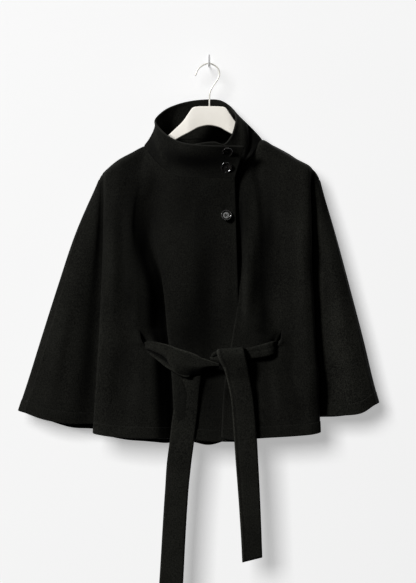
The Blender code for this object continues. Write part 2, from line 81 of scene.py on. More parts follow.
# A line down a panel: heights of its ends, then x and y at its six stations
rightBody = [
    ("front edge", -245, -808, (54, 57, 60.8, 61.6, 63, 64), (-48, -48, -45.5, -45, -44, -43)),
    ("centre", -245, -807, (-6, 4, 14, 19, 18, 17), (-52, -46.5, -44.5, -45.5, -46, -45.5)),
    ("chest", -244, -804.5, (-50, -50, -34, -26, -24, -24), (-48, -46.5, -53, -51, -49, -48)),
    ("inside fold", -237, -803, (-77, -84, -66, -59, -56, -53), (-40, -40, -55.5, -55, -54, -51)),
    ("fold edge", -219, -802, (-104, -112, -96, -85.5, -77, -72.5), (-30, -28.5, -51, -51.5, -51, -49)),
    ("fold tuck", -207, -802, (-114, -121, -87, -78, -70, -68), (-25, -25.5, -38, -38, -38, -40)),
    ("fold valley", -196, -802, (-125, -131, -93, -84, -75, -73), (-17, -26, -17, -17, -18, -27)),
    ("valley wall", -190.5, -801.5, (-129, -145, -112, -104, -96, -92), (-14, -31, -26.5, -29.5, -32, -38)),
    ("valley brow", -185, -801, (-133, -158, -132, -123, -116, -112), (-10, -37.5, -42.5, -43.5, -46, -48.5)),
    ("slit", -178, -800.5, (-138, -166, -148, -141, -139, -137), (-6, -42, -45, -45, -48.5, -50.5)),
    ("soft ridge", -191, -799, (-165, -184, -180, -180, -181, -182), (-13, -42, -44, -44, -45, -49)),
    ("side front", -208, -795, (-196, -205, -209, -213, -218, -223), (-20, -43, -46.5, -46, -46, -46)),
    ("side ridge", -228, -790, (-220, -224, -229, -234, -240, -246), (-20, -31, -37, -39, -40, -39)),
    ("side flap", -232, -787, (-224, -223, -218, -209, -206, -203), (-16, -14, -13, -9, -11, -12)),
    ("side seam", -235, -786, (-227, -221, -215, -207, -204, -201), (-13, -11, -7, -0.5, -0.5, -0.5)),
]
rightSleeve = [
    ("sleeve seam", -235, -771, (-227, -221, -215, -213, -216, -218), (-13, -11, -7, -0.5, -0.5, -0.5)),
    ("sleeve turn", -239, -771, (-229, -226, -220, -215, -218, -220), (-12, -11, -8, -3, -3, -3)),
    ("sleeve inside", -241, -771, (-231, -234, -238, -244, -250, -257), (-11, -12, -8, -5, -5, -6)),
    ("sleeve front", -243, -771, (-232, -243, -258, -271, -284, -297), (-10, -16, -15, -14, -14, -14)),
    ("sleeve outer", -247, -762, (-234, -260, -287, -312, -335, -354), (-7, -14, -17, -17, -17, -17)),
    ("over-arm seam", -251, -747, (-236, -278, -316, -347, -376, -397), (-1.5, -8, -9, -9, -9, -9)),
]
leftBody = [
    ("front edge", -242, -798, (13, 29, 62.6, 50, 34, 28), (-38, -40, -42.5, -52.5, -52, -51)),
    ("inner valley", -239, -803, (37, 62, 72, 64, 52, 46), (-38, -38, -43.5, -52.5, -52, -51.5)),
    ("front ridge", -227, -802, (66, 80, 82, 80, 72, 68), (-36, -48, -50, -51.5, -51, -50.5)),
    ("chest", -208, -800.5, (84, 104, 105, 106, 104, 102), (-31, -46.5, -43.5, -49.5, -49.5, -49)),
    ("soft valley", -189, -799, (98, 122, 123, 128, 130, 128), (-20, -40.5, -37, -46, -47, -47.5)),
    ("slit", -164, -797.5, (113, 148, 149, 150, 152, 154), (-17, -40, -36, -44.5, -48.5, -48)),
    ("side valley", -179, -795, (142, 168, 172, 177, 186, 190), (-18, -41, -39.5, -44, -46, -48)),
    ("side front", -203, -792, (184, 200, 206, 212, 217, 221), (-20, -40, -42, -44, -45.5, -46)),
    ("side ridge", -218, -788, (213, 218, 221, 227, 233, 237), (-20, -30, -34, -36, -37, -37)),
    ("side flap", -222, -785, (218, 214, 209, 201, 197, 194), (-16, -14, -12, -9, -11, -12)),
    ("side seam", -227, -783, (222, 212, 206, 198, 195, 192), (-13, -11, -7, -0.5, -0.5, -0.5)),
]
leftSleeve = [
    ("sleeve seam", -227, -753, (222, 212, 206, 204, 207, 209), (-13, -11, -7, -0.5, -0.5, -0.5)),
    ("sleeve turn", -230, -753, (225, 217, 211, 206, 209, 211), (-12, -14, -14, -12, -12, -12)),
    ("sleeve inside", -232, -753, (227, 226, 230, 236, 242, 246), (-12, -18, -22, -23, -23, -23)),
    ("sleeve front", -236, -753, (230, 237, 250, 262, 272, 280), (-10, -19, -23, -24.5, -25, -25)),
    ("sleeve outer", -243, -748, (234, 251, 277, 297, 315, 325), (-7, -18, -23.5, -25.5, -26, -26)),
    ("over-arm seam", -251, -730, (237, 264, 297, 323, 345, 355), (-1.5, -13, -17, -19, -20, -20)),
]
backMiddle = [
    ("side front", -208, -804, (-196, -203, -208, -212, -216, -220), (20, 33, 39, 42, 43, 44)),
    ("soft ridge", -191, -808, (-165, -172, -174, -176, -178, -180), (19, 41, 46, 48, 50, 50)),
    ("right neck", -178, -811, (-138, -140, -138, -138, -138, -138), (18, 41, 40, 38, 37, 37)),
    ("right curve", -166, -813, (-124, -120, -118, -117, -116, -115), (19, 42, 42, 42, 43, 44)),
    ("right flute", -160, -814, (-95, -98, -98, -96, -94, -92), (30, 43, 44, 46, 48, 49)),
    ("right valley", -159, -816, (-50, -52, -52, -50, -50, -50), (36, 43, 41, 40, 39, 38)),
    ("centre", -158, -817, (0, 0, 0, 0, 0, 0), (38, 43, 44, 45, 46, 46)),
    ("left valley", -157, -815, (50, 52, 52, 52, 50, 50), (36, 43, 42, 41, 40, 39)),
    ("left flute", -157, -812, (92, 96, 98, 98, 98, 98), (24, 42, 45, 48, 49, 50)),
    ("left neck", -164, -808, (113, 136, 138, 140, 140, 140), (17, 41, 40, 38, 37, 36)),
    ("side ridge", -192, -803, (168, 178, 180, 182, 184, 186), (20, 40, 45, 48, 50, 50)),
    ("side front", -206, -798, (190, 200, 203, 206, 210, 214), (20, 34, 39, 42, 43, 44)),
]
neckLines = {       # the lines that start at the collar and not over the hanger
    "front edge", "centre", "chest", "inside fold", "fold edge", "fold tuck", "fold valley", "valley wall",
    "valley brow", "inner valley", "front ridge", "soft valley", "right curve", "right flute", "right valley",
    "left valley", "left flute"}


def smoothCurve(knots, values, at):
    # smooth curve through values at uneven knots
    knots = np.asarray(knots, float)
    values = np.asarray(values, float)
    slopes = np.gradient(values, knots)
    i = np.clip(np.searchsorted(knots, at, side="right") - 1, 0, len(knots) - 2)
    span = knots[i + 1] - knots[i]
    t = (at - knots[i]) / span
    t2, t3 = t * t, t * t * t
    return ((2 * t3 - 3 * t2 + 1) * values[i] + (t3 - 2 * t2 + t) * span * slopes[i]
            + (3 * t2 - 2 * t3) * values[i + 1] + (t3 - t2) * span * slopes[i + 1])


def splinePoint(points, index, t):
    # centripetal spline through rows of points; each entry may be one point or many side by side
    def gap(a, b):
        return np.sqrt(np.maximum(np.linalg.norm(b - a, axis=-1, keepdims=True), 1e-6))
    p1, p2 = points[index], points[index + 1]
    p0 = points[index - 1] if index > 0 else 2 * p1 - p2
    p3 = points[index + 2] if index + 2 < len(points) else 2 * p2 - p1
    k1 = gap(p0, p1)
    k2 = k1 + gap(p1, p2)
    k3 = k2 + gap(p2, p3)
    at = k1 + t * (k2 - k1)
    a1 = p0 + (p1 - p0) * at / k1
    a2 = p1 + (p2 - p1) * (at - k1) / (k2 - k1)
    a3 = p2 + (p3 - p2) * (at - k2) / (k3 - k2)
    b1 = a1 + (a2 - a1) * at / k2
    b2 = a2 + (a3 - a2) * (at - k1) / (k3 - k1)
    return b1 + (b2 - b1) * (at - k1) / (k2 - k1)


def splinePath(points, steps):
    points = [np.array(p, float) for p in points]
    route = [splinePoint(points, i, k / steps) for i in range(len(points) - 1) for k in range(steps)]
    return np.array(route + [points[-1]])


def smoothStep(low, high, value):
    t = np.clip((value - low) / (high - low), 0, 1)
    return t * t * (3 - 2 * t)


def bell(value, middle, width):
    return np.exp(-((value - middle) / width) ** 2)


def linePath(line, rows):
    # the points of one line at every row, rolled over the hanger where it starts on a shoulder
    name, top, hem, xs, ys = line
    heights = np.array((top, *stationHeights, hem), float)
    z = np.interp(rows, (0, 1, 2, 3, 4, hemStation, 5), (*heights[:5], hem + cloth["hemDepth"], hem))
    x, y = (smoothCurve(-heights, values, -z) for values in (xs, ys))
    if name in ("side seam", "sleeve seam"):
        y = math.copysign(1, ys[0]) * np.maximum(np.abs(y), np.where(rows > underarm, 0.8, 1.8))
    if name not in neckLines:
        drop = np.minimum(1, (top - z) / cloth["shoulderRoll"])
        seamY = np.sign(y) * seamHalf
        y = seamY + (y - seamY) * np.sqrt(1 - (1 - drop) ** 2)
    return np.stack((x, y, z), axis=1)


def panelRows():
    # rows from the top edge to the hem, close together where the cloth turns
    rows = [0, 0.004, 0.012, 0.024, 0.04, 0.06, 0.085, 0.11, 0.14, *np.linspace(0.175, 1, 24)]
    for low, high, count in ((1, 2, 29), (2, slitRows[0], 18), (slitRows[0], underarm, 6),
                             (underarm, slitRows[1], 11), (slitRows[1], 4, 19), (4, 4.74, 20)):
        rows += list(np.linspace(low, high, count))[1:]
    rows += [hemStation + gap * stationPerMm for gap in (-2.6, -1.4, -0.6, 0, 0.6, 1.4, 2.6, 4.5)]
    return np.array(rows + [5 - gap * stationPerMm for gap in (15, 11.5, 8, 5, 2.8, 1.4, 0.6, 0)])


def panelSurface(strips, slitLine=None):
    # a panel's middle surface: strips of lines side by side, joined above the underarm, parted
    # below it and along a front's slit
    rows = panelRows()
    paths = [np.array([linePath(line, rows) for line in lines]) for lines in strips]
    joined = [paths[0].copy()]
    for path in paths[1:]:
        joined[-1][-1] = (joined[-1][-1] + path[0]) / 2
        joined.append(path[1:].copy())
    joined = np.concatenate(joined)
    apart = smoothStep(underarm, underarm + 0.14, rows)[:, None]
    columns = []
    before = 0
    for number, path in enumerate(paths):
        for i in range(len(path) - 1):
            steps = max(2, math.ceil(np.linalg.norm(path[i + 1] - path[i], axis=1).max() / cloth["spacing"]))
            last = i == len(path) - 2
            for k in range(steps + last):
                whole, own = splinePoint(joined, before + i, k / steps), splinePoint(path, i, k / steps)
                points = whole * (1 - apart) + own * apart
                if slitLine is not None:
                    points[:, 1] = np.minimum(points[:, 1], -seamHalf)
                elif number == 1:
                    points[:, 1] = np.maximum(points[:, 1], seamHalf)
                kind = "plain"
                if (k, i, number) == (0, slitLine, 0):
                    kind = "slit"
                elif last and k == steps and number < len(paths) - 1:
                    kind = "end"
                elif i == k == 0 < number:
                    kind = "start"
                columns.append((kind, points))
        before += len(path) - 1
    slits = (rows > slitRows[0] + 1e-6) & (rows < slitRows[1] - 1e-6)
    points, lower, upper = [], [], []      # vertex numbers as seen from each side of a column
    for kind, path in columns:
        own = rows > (underarm + 1e-6 if kind == "start" else -1)
        numbers = np.where(own, len(points) + np.cumsum(own) - 1, 0)
        if kind == "start":
            numbers[~own] = lower[-1][~own]
        points.extend(path[own])
        lower.append(numbers)
        upper.append(numbers)
        if kind == "slit":
            upper[-1] = np.where(slits, len(points) + np.cumsum(slits) - 1, numbers)
            points.extend(path[slits])
    points = np.array(points)
    quads = np.concatenate([np.stack((a[:-1], b[:-1], b[1:], a[1:]), axis=1)
                            for (kind, path), a, b in zip(columns, upper, lower[1:]) if kind != "end"])
    rowOf = np.zeros(len(points))
    for numbers in lower + upper:
        rowOf[numbers] = rows
    if slitLine is not None:               # the outer side of the slit stands forward, the inner one back
        slitAt = next(i for i, column in enumerate(columns) if column[0] == "slit")
        fromSlit = points[:, 0] - np.interp(rowOf, rows, columns[slitAt][1][:, 0])
        outer = np.zeros(len(points), bool)
        outer[np.concatenate(lower[slitAt + 1:])] = True
        outer[upper[slitAt][slits]] = True
        share = np.clip((rows - slitRows[0]) / (slitRows[1] - slitRows[0]), 0, 1)
        opening = np.where(slits, np.sin(np.pi * share ** 1.7), 0)      # widest just above the belt
        out = math.copysign(1, columns[slitAt][1][:, 0].mean())
        slant = np.interp(rowOf, (2.2, *slitRows, 3.9), (0, *slitSlant, 0))
        points[:, 0] += out * slant * bell(fromSlit, 0, 34)
        near = bell(fromSlit, 0, 15) * np.interp(rowOf, rows, opening)
        points[:, 0] += np.where(outer, 1, -1) * out * near * slitGap
        points[:, 1] -= np.where(outer, 3, -6) * near
    return points, quads, rowOf


def surfaceNormals(points, quads):
    a, b, c, d = (points[quads[:, k]] for k in range(4))
    across = np.cross(c - a, d - b)
    normals = np.zeros_like(points)
    for k in range(4):
        np.add.at(normals, quads[:, k], across)
    return normals / np.maximum(np.linalg.norm(normals, axis=1), 1e-9)[:, None]


def turnedOutwards(points, quads, inward):
    # the quads and normals of a surface, turned round where inward(normals) says so
    normals = surfaceNormals(points, quads)
    return (quads[:, ::-1].copy(), -normals) if inward(normals) else (quads, normals)


roundRim = ((45, 1.0), (0, 1.0), (-45, 1.0))        # angle and reach of each ring round an edge
doubleRim = ((62, 1.0), (34, 1.0), (12, 0.94), (0, 0.72), (-12, 0.94), (-34, 1.0), (-62, 1.0))


def paintedShadeAt(points, paintedLightAndShade):
    # painted shade and painted light on the cloth, in soft patches: (x and z, reach in x and z, amount)
    shade = np.zeros(len(points))
    for (x, z), (wide, high), amount in paintedLightAndShade:
        shade += amount * bell(points[:, 0], x, wide) * bell(points[:, 2], z, high)
    return np.clip(shade, -0.85, 1.2)


def addObject(name, data):
    item = bpy.data.objects.new(name, data)
    bpy.context.scene.collection.objects.link(item)
    return item


def place(item, slot, *nodes):
    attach(item, "root")
    if nodes:
        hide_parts(*nodes)
    return item


def clothShell(node, points, quads, wall, material, folds, rim=roundRim, rimWornAndLit=1.0):
    # a closed shell of the given wall about a middle surface, with a rounded rim
    count = len(points)
    normals = surfaceNormals(points, quads)
    half = (np.broadcast_to(wall, count) / 2)[:, None]
    known = set(map(tuple, np.concatenate([quads[:, (k, (k + 1) % 4)] for k in range(4)]).tolist()))
    border = sorted((a, b) for a, b in known if (b, a) not in known)
    outward = np.zeros_like(points)
    for a, b in border:
        side = np.cross(points[b] - points[a], normals[a] + normals[b])
        side /= max(np.linalg.norm(side), 1e-9)
        outward[a] += side
        outward[b] += side
    size = np.linalg.norm(outward, axis=1)[:, None]
    outward = np.where(size > 0.35, outward / np.maximum(size, 1e-9), 0)
    rimNumbers = np.unique(border)
    layers = [points + normals * half, points - normals * half]
    rings = [np.arange(count)]             # where each point's copy lies, ring by ring round the edge
    for k, (angle, reach) in enumerate(rim):
        turn = math.radians(angle)
        lifted = points + half * (outward * math.cos(turn) * reach + normals * math.sin(turn))
        layers.append(lifted[rimNumbers])
        rings.append(np.zeros(count, int))
        rings[-1][rimNumbers] = np.arange(len(rimNumbers)) + 2 * count + k * len(rimNumbers)
    rings.append(rings[0] + count)
    a, b = np.array(border).T
    sides = [np.stack((near[b], near[a], far[a], far[b]), axis=1) for near, far in zip(rings, rings[1:])]
    faces = np.concatenate((quads, quads[:, ::-1] + count, np.stack(sides, axis=1).reshape(-1, 4)))
    spots = np.concatenate(layers)
    mesh = bpy.data.meshes.new(node + "_cloth")
    mesh.from_pydata((spots * mm).tolist(), [], faces.tolist())
    mesh.validate()
    # the rims take the rubbed colour, real wear and painted highlight both; elsewhere the painted light and
    # shade patches tone the cloth
    rimWearAndLight = np.broadcast_to(rimWornAndLit, count)[rimNumbers]
    near = np.zeros(len(spots))
    near[2 * count:] = np.tile(rimWearAndLight, len(rim))
    near[rimNumbers] = near[rimNumbers + count] = 0.6 * rimWearAndLight
    paintedTones = paintedShadeAt(spots, folds.get("paintedLightAndShade", ()))
    # painted shadow along a seam whose rim gets no painted highlight
    paintedTones[2 * count:] -= 0.75 * np.tile(1 - rimWearAndLight, len(rim))      # a seam pressed flat lies in shadow
    for label, values in (("edge", near), ("shade", paintedTones)):
        mesh.attributes.new(label, "FLOAT", "POINT").data.foreach_set("value", values)
    mesh.shade_smooth()
    mesh.materials.append(material)
    print(f"{node}_cloth: {len(mesh.polygons)} faces")
    item = place(addObject(node + "_cloth", mesh), "wool", node)


def creaseHeight(x, z, creases):
    # soft troughs and ridges along given paths: (path, width left, width right, depth)
    height = np.zeros(len(x))
    for path, leftWidth, rightWidth, depth in creases:
        path = splinePath([(*spot, 0) for spot in path], 5)[:, :2]
        lengths = np.linalg.norm(np.diff(path, axis=0), axis=1)
        nearest = np.full(len(x), 1e9)
        along = np.zeros(len(x))
        side = np.ones(len(x))
        start = 0.0
        for p, q, length in zip(path, path[1:], lengths):
            d = (q - p) / length
            t = np.clip((x - p[0]) * d[0] + (z - p[1]) * d[1], 0, length)
            dx, dz = x - p[0] - d[0] * t, z - p[1] - d[1] * t
            far = np.hypot(dx, dz)
            closer = far < nearest
            nearest = np.where(closer, far, nearest)
            along = np.where(closer, (start + t) / lengths.sum(), along)
            side = np.where(closer, dx, side)
            start += length
        width = np.where(side < 0, leftWidth, rightWidth)
        fade = np.sin(np.pi * np.clip(along, 0, 1)) ** 0.7
        height += depth * fade * bell(nearest, 0, width)
    return height


def unevenness(points, seed):
    # slow waves that keep a hanging cloth from looking machined
    rng = np.random.default_rng(seed)
    height = np.zeros(len(points))
    for k in range(9):
        wave = rng.normal(size=3) * (1.0, 0.6, 0.35)
        wave *= 2 * math.pi / rng.uniform(55, 150) / np.linalg.norm(wave)
        height += np.sin(points @ wave + rng.uniform(0, 2 * math.pi)) / 3
    return height * cloth["unevenness"]


def fillInputs(tree, node, inputs):
    # links or sets a node's inputs
    for slot, value in inputs.items():
        if isinstance(value, bpy.types.NodeSocket):
            tree.links.new(value, node.inputs[slot])
        else:
            node.inputs[slot].default_value = value
    return node


def addNode(tree, kind, inputs={}, **settings):
    node = tree.nodes.new(kind)
    for label, value in settings.items():
        setattr(node, label, value)
    return fillInputs(tree, node, inputs)


def startGroup(name, kind, inputs, outputs):
    # inputs and outputs: label, kind of socket and, for an input, its value
    group = bpy.data.node_groups.new(name, kind)
    for label, socket, *value in inputs:
        made = group.interface.new_socket(name=label, in_out="INPUT", socket_type="NodeSocket" + socket)
        if value:
            made.default_value = value[0]
    for label, socket in outputs:
        group.interface.new_socket(name=label, in_out="OUTPUT", socket_type="NodeSocket" + socket)
    return group, group.nodes.new("NodeGroupInput").outputs, group.nodes.new("NodeGroupOutput")


def mathNode(tree, operation, a, b):
    return addNode(tree, "ShaderNodeMath", {0: a, 1: b}, operation=operation).outputs[0]


def weighted(tree, a, shareOfA, b, shareOfB):
    parts = [mathNode(tree, "MULTIPLY", value, share) for value, share in ((a, shareOfA), (b, shareOfB))]
    return mathNode(tree, "ADD", *parts)


def noiseNode(tree, vector, scale, detail, roughness=0.55, distortion=0.0):
    return addNode(tree, "ShaderNodeTexNoise", {
        "Vector": vector, "Scale": scale, "Detail": detail, "Roughness": roughness,
        "Distortion": distortion}).outputs["Fac"]


def objectSpot(tree):
    return tree.nodes.new("ShaderNodeTexCoord").outputs["Object"]


def mixColour(tree, factor, *ends):
    ends = [end if isinstance(end, bpy.types.NodeSocket) else (*end, 1) for end in ends]
    return addNode(tree, "ShaderNodeMix", {0: factor, 6: ends[0], 7: ends[1]}, data_type="RGBA").outputs[2]


def mapRange(tree, value, fromLow, fromHigh, toLow=0.0, toHigh=1.0):
    return addNode(tree, "ShaderNodeMapRange", {
        "Value": value, "From Min": fromLow, "From Max": fromHigh, "To Min": toLow,
        "To Max": toHigh}).outputs["Result"]


def bumpNode(tree, height, strength, distance):
    return addNode(tree, "ShaderNodeBump", {"Height": height, "Strength": strength,
                                            "Distance": distance}).outputs["Normal"]


def makeNapGroup():
    # brushed wool: fibres, clumps of nap and slow changes of tone
    group, given, result = startGroup(
        "woolNap", "ShaderNodeTree",
        (("Fibre Scale", "Float", 1500.0), ("Clump Scale", "Float", 330.0), ("Drift Scale", "Float", 9.0)),
        (("Tone", "Float"), ("Height", "Float"), ("Roughness", "Float")))
    spot = objectSpot(group)
    brushed = addNode(group, "ShaderNodeMapping", {"Vector": spot, "Scale": (1.0, 1.0, 0.75)}).outputs[0]
    fibres = noiseNode(group, brushed, given["Fibre Scale"], 3, 0.6, 0.4)
    clumps = noiseNode(group, brushed, given["Clump Scale"], 2, 0.5, 0.2)
    drift = noiseNode(group, spot, given["Drift Scale"], 3, 0.5)
    height = weighted(group, fibres, 0.4, clumps, 0.6)
    fillInputs(group, result, {
        "Tone": weighted(group, height, 0.84, drift, 0.16), "Height": height,
        "Roughness": mathNode(group, "ADD", 0.82, mathNode(group, "MULTIPLY", clumps, 0.2))})
    return group


def makeLintGroup():
    # scattered lint, as dark wool gathers it
    group, given, result = startGroup(
        "lint", "ShaderNodeTree", (("Scale", "Float", 420.0), ("Amount", "Float", 0.02)),
        (("Mask", "Float"),))
    spot = objectSpot(group)
    cells = addNode(group, "ShaderNodeTexVoronoi", {"Vector": spot, "Scale": given["Scale"]})
    near = mathNode(group, "LESS_THAN", cells.outputs["Distance"], 0.16)
    rare = mathNode(group, "LESS_THAN", noiseNode(group, spot, 260.0, 2), 0.36)
    mask = mathNode(group, "MULTIPLY", mathNode(group, "MULTIPLY", near, rare), given["Amount"])
    fillInputs(group, result, {"Mask": mask})
    return group


def makeMaterial(name, finish):
    # finish(tree) gives the shader's inputs
    material = bpy.data.materials.new(name)
    material.use_nodes = True
    tree = material.node_tree
    fillInputs(tree, tree.nodes["Principled BSDF"], finish(tree))
    return material


wool = {
    "dark": (0.0022, 0.0022, 0.0018),
    "light": (0.0176, 0.0178, 0.0147),
    # colour of the rims: real rubbing wear and painted highlight both
    "rubbed": (0.020, 0.020, 0.0175),
    "lintColour": (0.03, 0.03, 0.03),
    "fibreScale": 1500.0,
    "clumpScale": 495.0,
    "lintScale": 420.0,
    "lintAmount": 0.5,
    "sheen": 0.03,
    "bump": 0.5,
}


def makeWool(name, driftScale=9.0, lift=1.0, edgeWearAndHighlight=0.3):
    # lift paints a whole copy of the wool lighter, standing in for the more light it catches
    def finish(tree):
        nap = addNode(tree, "ShaderNodeGroup", {
            "Fibre Scale": wool["fibreScale"], "Clump Scale": wool["clumpScale"],
            "Drift Scale": driftScale}, node_tree=napGroup).outputs
        lint = addNode(tree, "ShaderNodeGroup", {
            "Scale": wool["lintScale"], "Amount": wool["lintAmount"]}, node_tree=lintGroup).outputs["Mask"]
        # the shade attribute carries painted shade and painted light
        edge, paintedLightShade = (addNode(tree, "ShaderNodeAttribute", attribute_name=label).outputs["Fac"]
                     for label in ("edge", "shade"))
        dark, light = (tuple(c * lift for c in wool[end]) for end in ("dark", "light"))
        colour = mixColour(tree, mapRange(tree, nap["Tone"], 0.38, 0.62), dark, light)
        colour = mixColour(tree, mathNode(tree, "MULTIPLY", edge, edgeWearAndHighlight), colour, wool["rubbed"])
        colour = mixColour(tree, lint, colour, wool["lintColour"])
        # the colour is scaled by the painted shade and light
        toned = addNode(tree, "ShaderNodeVectorMath", {0: colour, "Scale": mathNode(tree, "ADD", paintedLightShade, 1.0)},
                        operation="SCALE")
        return {"Base Color": toned.outputs["Vector"], "Roughness": nap["Roughness"],
                "Specular IOR Level": 0.07, "Sheen Weight": wool["sheen"], "Sheen Roughness": 0.45,
                "Sheen Tint": (0.5, 0.5, 0.48, 1),
                "Normal": bumpNode(tree, nap["Height"], wool["bump"], 0.0004)}
    return makeMaterial(name, finish)


def threadFinish(tree):
    twist = noiseNode(tree, objectSpot(tree), 2600.0, 2)
    return {"Base Color": mixColour(tree, twist, (0.0018, 0.0018, 0.0016), (0.006, 0.006, 0.005)),
            "Roughness": mapRange(tree, twist, 0.3, 0.7, 0.5, 0.7)}


def buttonFinish(tree):
    # dark polished plastic with faint horn-like clouds
    spot = objectSpot(tree)
    clouds = noiseNode(tree, spot, 130.0, 4, 0.6, 1.6)
    scuffs = noiseNode(tree, spot, 900.0, 3)
    cloudy = mapRange(tree, clouds, 0.35, 0.65)
    return {"Base Color": mixColour(tree, cloudy, (0.006, 0.006, 0.006), (0.022, 0.02, 0.018)),
            "Roughness": mapRange(tree, scuffs, 0.3, 0.7, 0.07, 0.13),
            "Coat Weight": 0.4, "Coat Roughness": 0.08,
            "Normal": bumpNode(tree, clouds, 0.12, 0.0002)}


def hangerFinish(tree):
    spot = objectSpot(tree)
    clouds = noiseNode(tree, spot, 18.0, 3)
    scuffs = noiseNode(tree, spot, 60.0, 4, 0.65, 0.8)
    colour = mixColour(tree, mapRange(tree, clouds, 0.3, 0.7), (0.76, 0.725, 0.655), (0.83, 0.795, 0.73))
    rubbed = mapRange(tree, scuffs, 0.66, 0.74, 0, 0.3)
    return {"Base Color": mixColour(tree, rubbed, colour, (0.62, 0.58, 0.51)),
            "Roughness": mapRange(tree, scuffs, 0.3, 0.7, 0.38, 0.52),
            "Normal": bumpNode(tree, noiseNode(tree, spot, 1400.0, 2), 0.12, 0.0002)}


def wireFinish(tree):
    rubs = noiseNode(tree, objectSpot(tree), 120.0, 4, 0.6, 0.5)
    rubbed = mapRange(tree, rubs, 0.5, 0.75)
    return {"Base Color": mixColour(tree, rubbed, (0.70, 0.685, 0.62), (0.52, 0.5, 0.45)),
            "Roughness": mapRange(tree, rubs, 0.3, 0.7, 0.25, 0.42), "Metallic": 0.35,
            "Normal": bumpNode(tree, rubs, 0.1, 0.0001)}


print("materials")
napGroup = makeNapGroup()
lintGroup = makeLintGroup()
jacketWool = makeWool("jacketWool")
# the belt's copy of the wool is painted lighter, standing in for the more light it catches
beltWool = makeWool("beltWool", driftScale=16.0, lift=1.42)
# the collar's rims take the rubbed colour strongly: real wear and painted highlight both
collarWool = makeWool("collarWool", driftScale=14.0, edgeWearAndHighlight=0.9)
thread = makeMaterial("thread", threadFinish)
buttonPlastic = makeMaterial("buttonPlastic", buttonFinish)
hangerPlastic = makeMaterial("hangerPlastic", hangerFinish)
coatedWire = makeMaterial("coatedWire", wireFinish)


# Fronts: creases, (path, width left, width right, depth), and patches of painted shade and painted light
frontRightFolds = {
    "creases": (
        (((-124, -203), (-128, -246), (-133, -290)), 13, 10, 4.0),
        (((-190, -330), (-184, -400), (-186, -480), (-190, -560)), 14, 13, -1.5),
        (((-160, -480), (-156, -540), (-150, -590)), 12, 9, 1.5),
        (((-140, -618), (-149, -680), (-157, -790)), 16, 12, 1.5),
        (((-182, -600), (-194, -670), (-204, -740)), 13, 12, -1.8),
        (((-92, -262), (-76, -320), (-64, -400)), 15, 18, -1.0),
        (((20, -238), (-18, -292), (-40, -378)), 14, 16, 1.3),
        (((18, -327), (38, -327), (54, -327)), 9, 9, 1.2),
        (((-6, -420), (0, -490), (-4, -590)), 20, 14, -1.8),
        (((34, -380), (38, -470), (34, -560)), 10, 12, 0.9),
        (((-270, -400), (-286, -507), (-303, -636), (-320, -755)), 15, 15, -1.1),
        (((-300, -520), (-325, -640), (-345, -740)), 14, 12, 1.2),
    ),
    # painted shade where folds and shadows fall, painted light where the cloth is lit
    "paintedLightAndShade": (
        ((-168, -380), (24, 150), -0.5), ((-230, -400), (11, 100), -0.5), ((-204, -335), (14, 50), -0.3),
        ((-122, -320), (22, 90), -0.4), ((-160, -290), (16, 40), -0.25), ((-60, -297), (44, 66), -0.42),
        ((-8, -480), (26, 130), -0.47), ((-40, -585), (60, 34), -0.42), ((-260, -650), (16, 120), -0.36),
        ((-232, -740), (10, 80), 0.3), ((-180, -640), (13, 80), -0.3), ((-138, -530), (16, 70), -0.35),
        ((-172, -512), (12, 34), -0.35), ((2, -720), (30, 70), -0.42), ((52, -530), (14, 40), -0.25),
        ((-108, -480), (16, 90), -0.6), ((-140, -395), (12, 48), -0.6), ((-100, -740), (14, 100), -0.35),
        ((-205, -560), (30, 240), 0.2), ((-310, -570), (50, 220), 0.2), ((-114, -770), (12, 60), 0.2),
        ((-200, -785), (90, 18), 0.3),
    ),
    "cut": (0.58, 0.60),
    "cutArea": 0.27,
}
frontLeftFolds = {
    "creases": (
        (((118, -280), (113, -370), (113, -458), (120, -550)), 13, 12, -1.8),
        (((86, -360), (84, -432), (80, -507), (86, -580)), 11, 14, 1.3),
        (((165, -612), (178, -669), (193, -722), (202, -780)), 11, 13, -1.5),
        (((128, -636), (143, -690), (160, -752)), 10, 11, 1.2),
        (((103, -641), (104, -722), (106, -800)), 10, 9, -1.2),
        (((143, -588), (124, -580), (102, -570)), 5, 5, -1.8),
        (((145, -574), (128, -562), (114, -544)), 6, 6, 1.3),
        (((196, -325), (202, -507), (208, -679)), 10, 8, 0.7),
        (((246, -400), (257, -507), (266, -636), (277, -740)), 14, 14, -0.8),
        (((276, -464), (292, -593), (308, -722)), 12, 12, 0.8),
    ),
    # painted shade where folds and shadows fall, painted light where the cloth is lit
    "paintedLightAndShade": (
        ((99, -290), (9, 75), 0.5), ((122, -430), (12, 150), -0.5), ((76, -350), (10, 80), -0.45),
        ((92, -430), (9, 60), 0.5), ((114, -548), (11, 34), -0.6), ((67, -345), (4.5, 75), -0.8),
        ((200, -350), (15, 110), 0.9), ((306, -640), (50, 170), 1.1), ((131, -335), (10, 60), -0.4),
        ((262, -480), (22, 230), 0.4), ((227, -290), (6, 50), 0.8), ((233, -380), (5, 90), 1.0),
        ((241, -510), (5, 80), 0.9), ((104, -425), (8, 60), 0.35), ((146, -545), (10, 60), 0.3),
        ((170, -610), (10, 40), -0.3), ((215, -600), (12, 220), 0.4), ((156, -585), (4, 20), -0.5),
        ((52, -530), (14, 40), -0.25), ((40, -700), (14, 34), -0.5), ((180, -480), (60, 300), 0.08),
    ),
    "cut": (0.50, 0.55),
    "cutArea": 0.19,
}


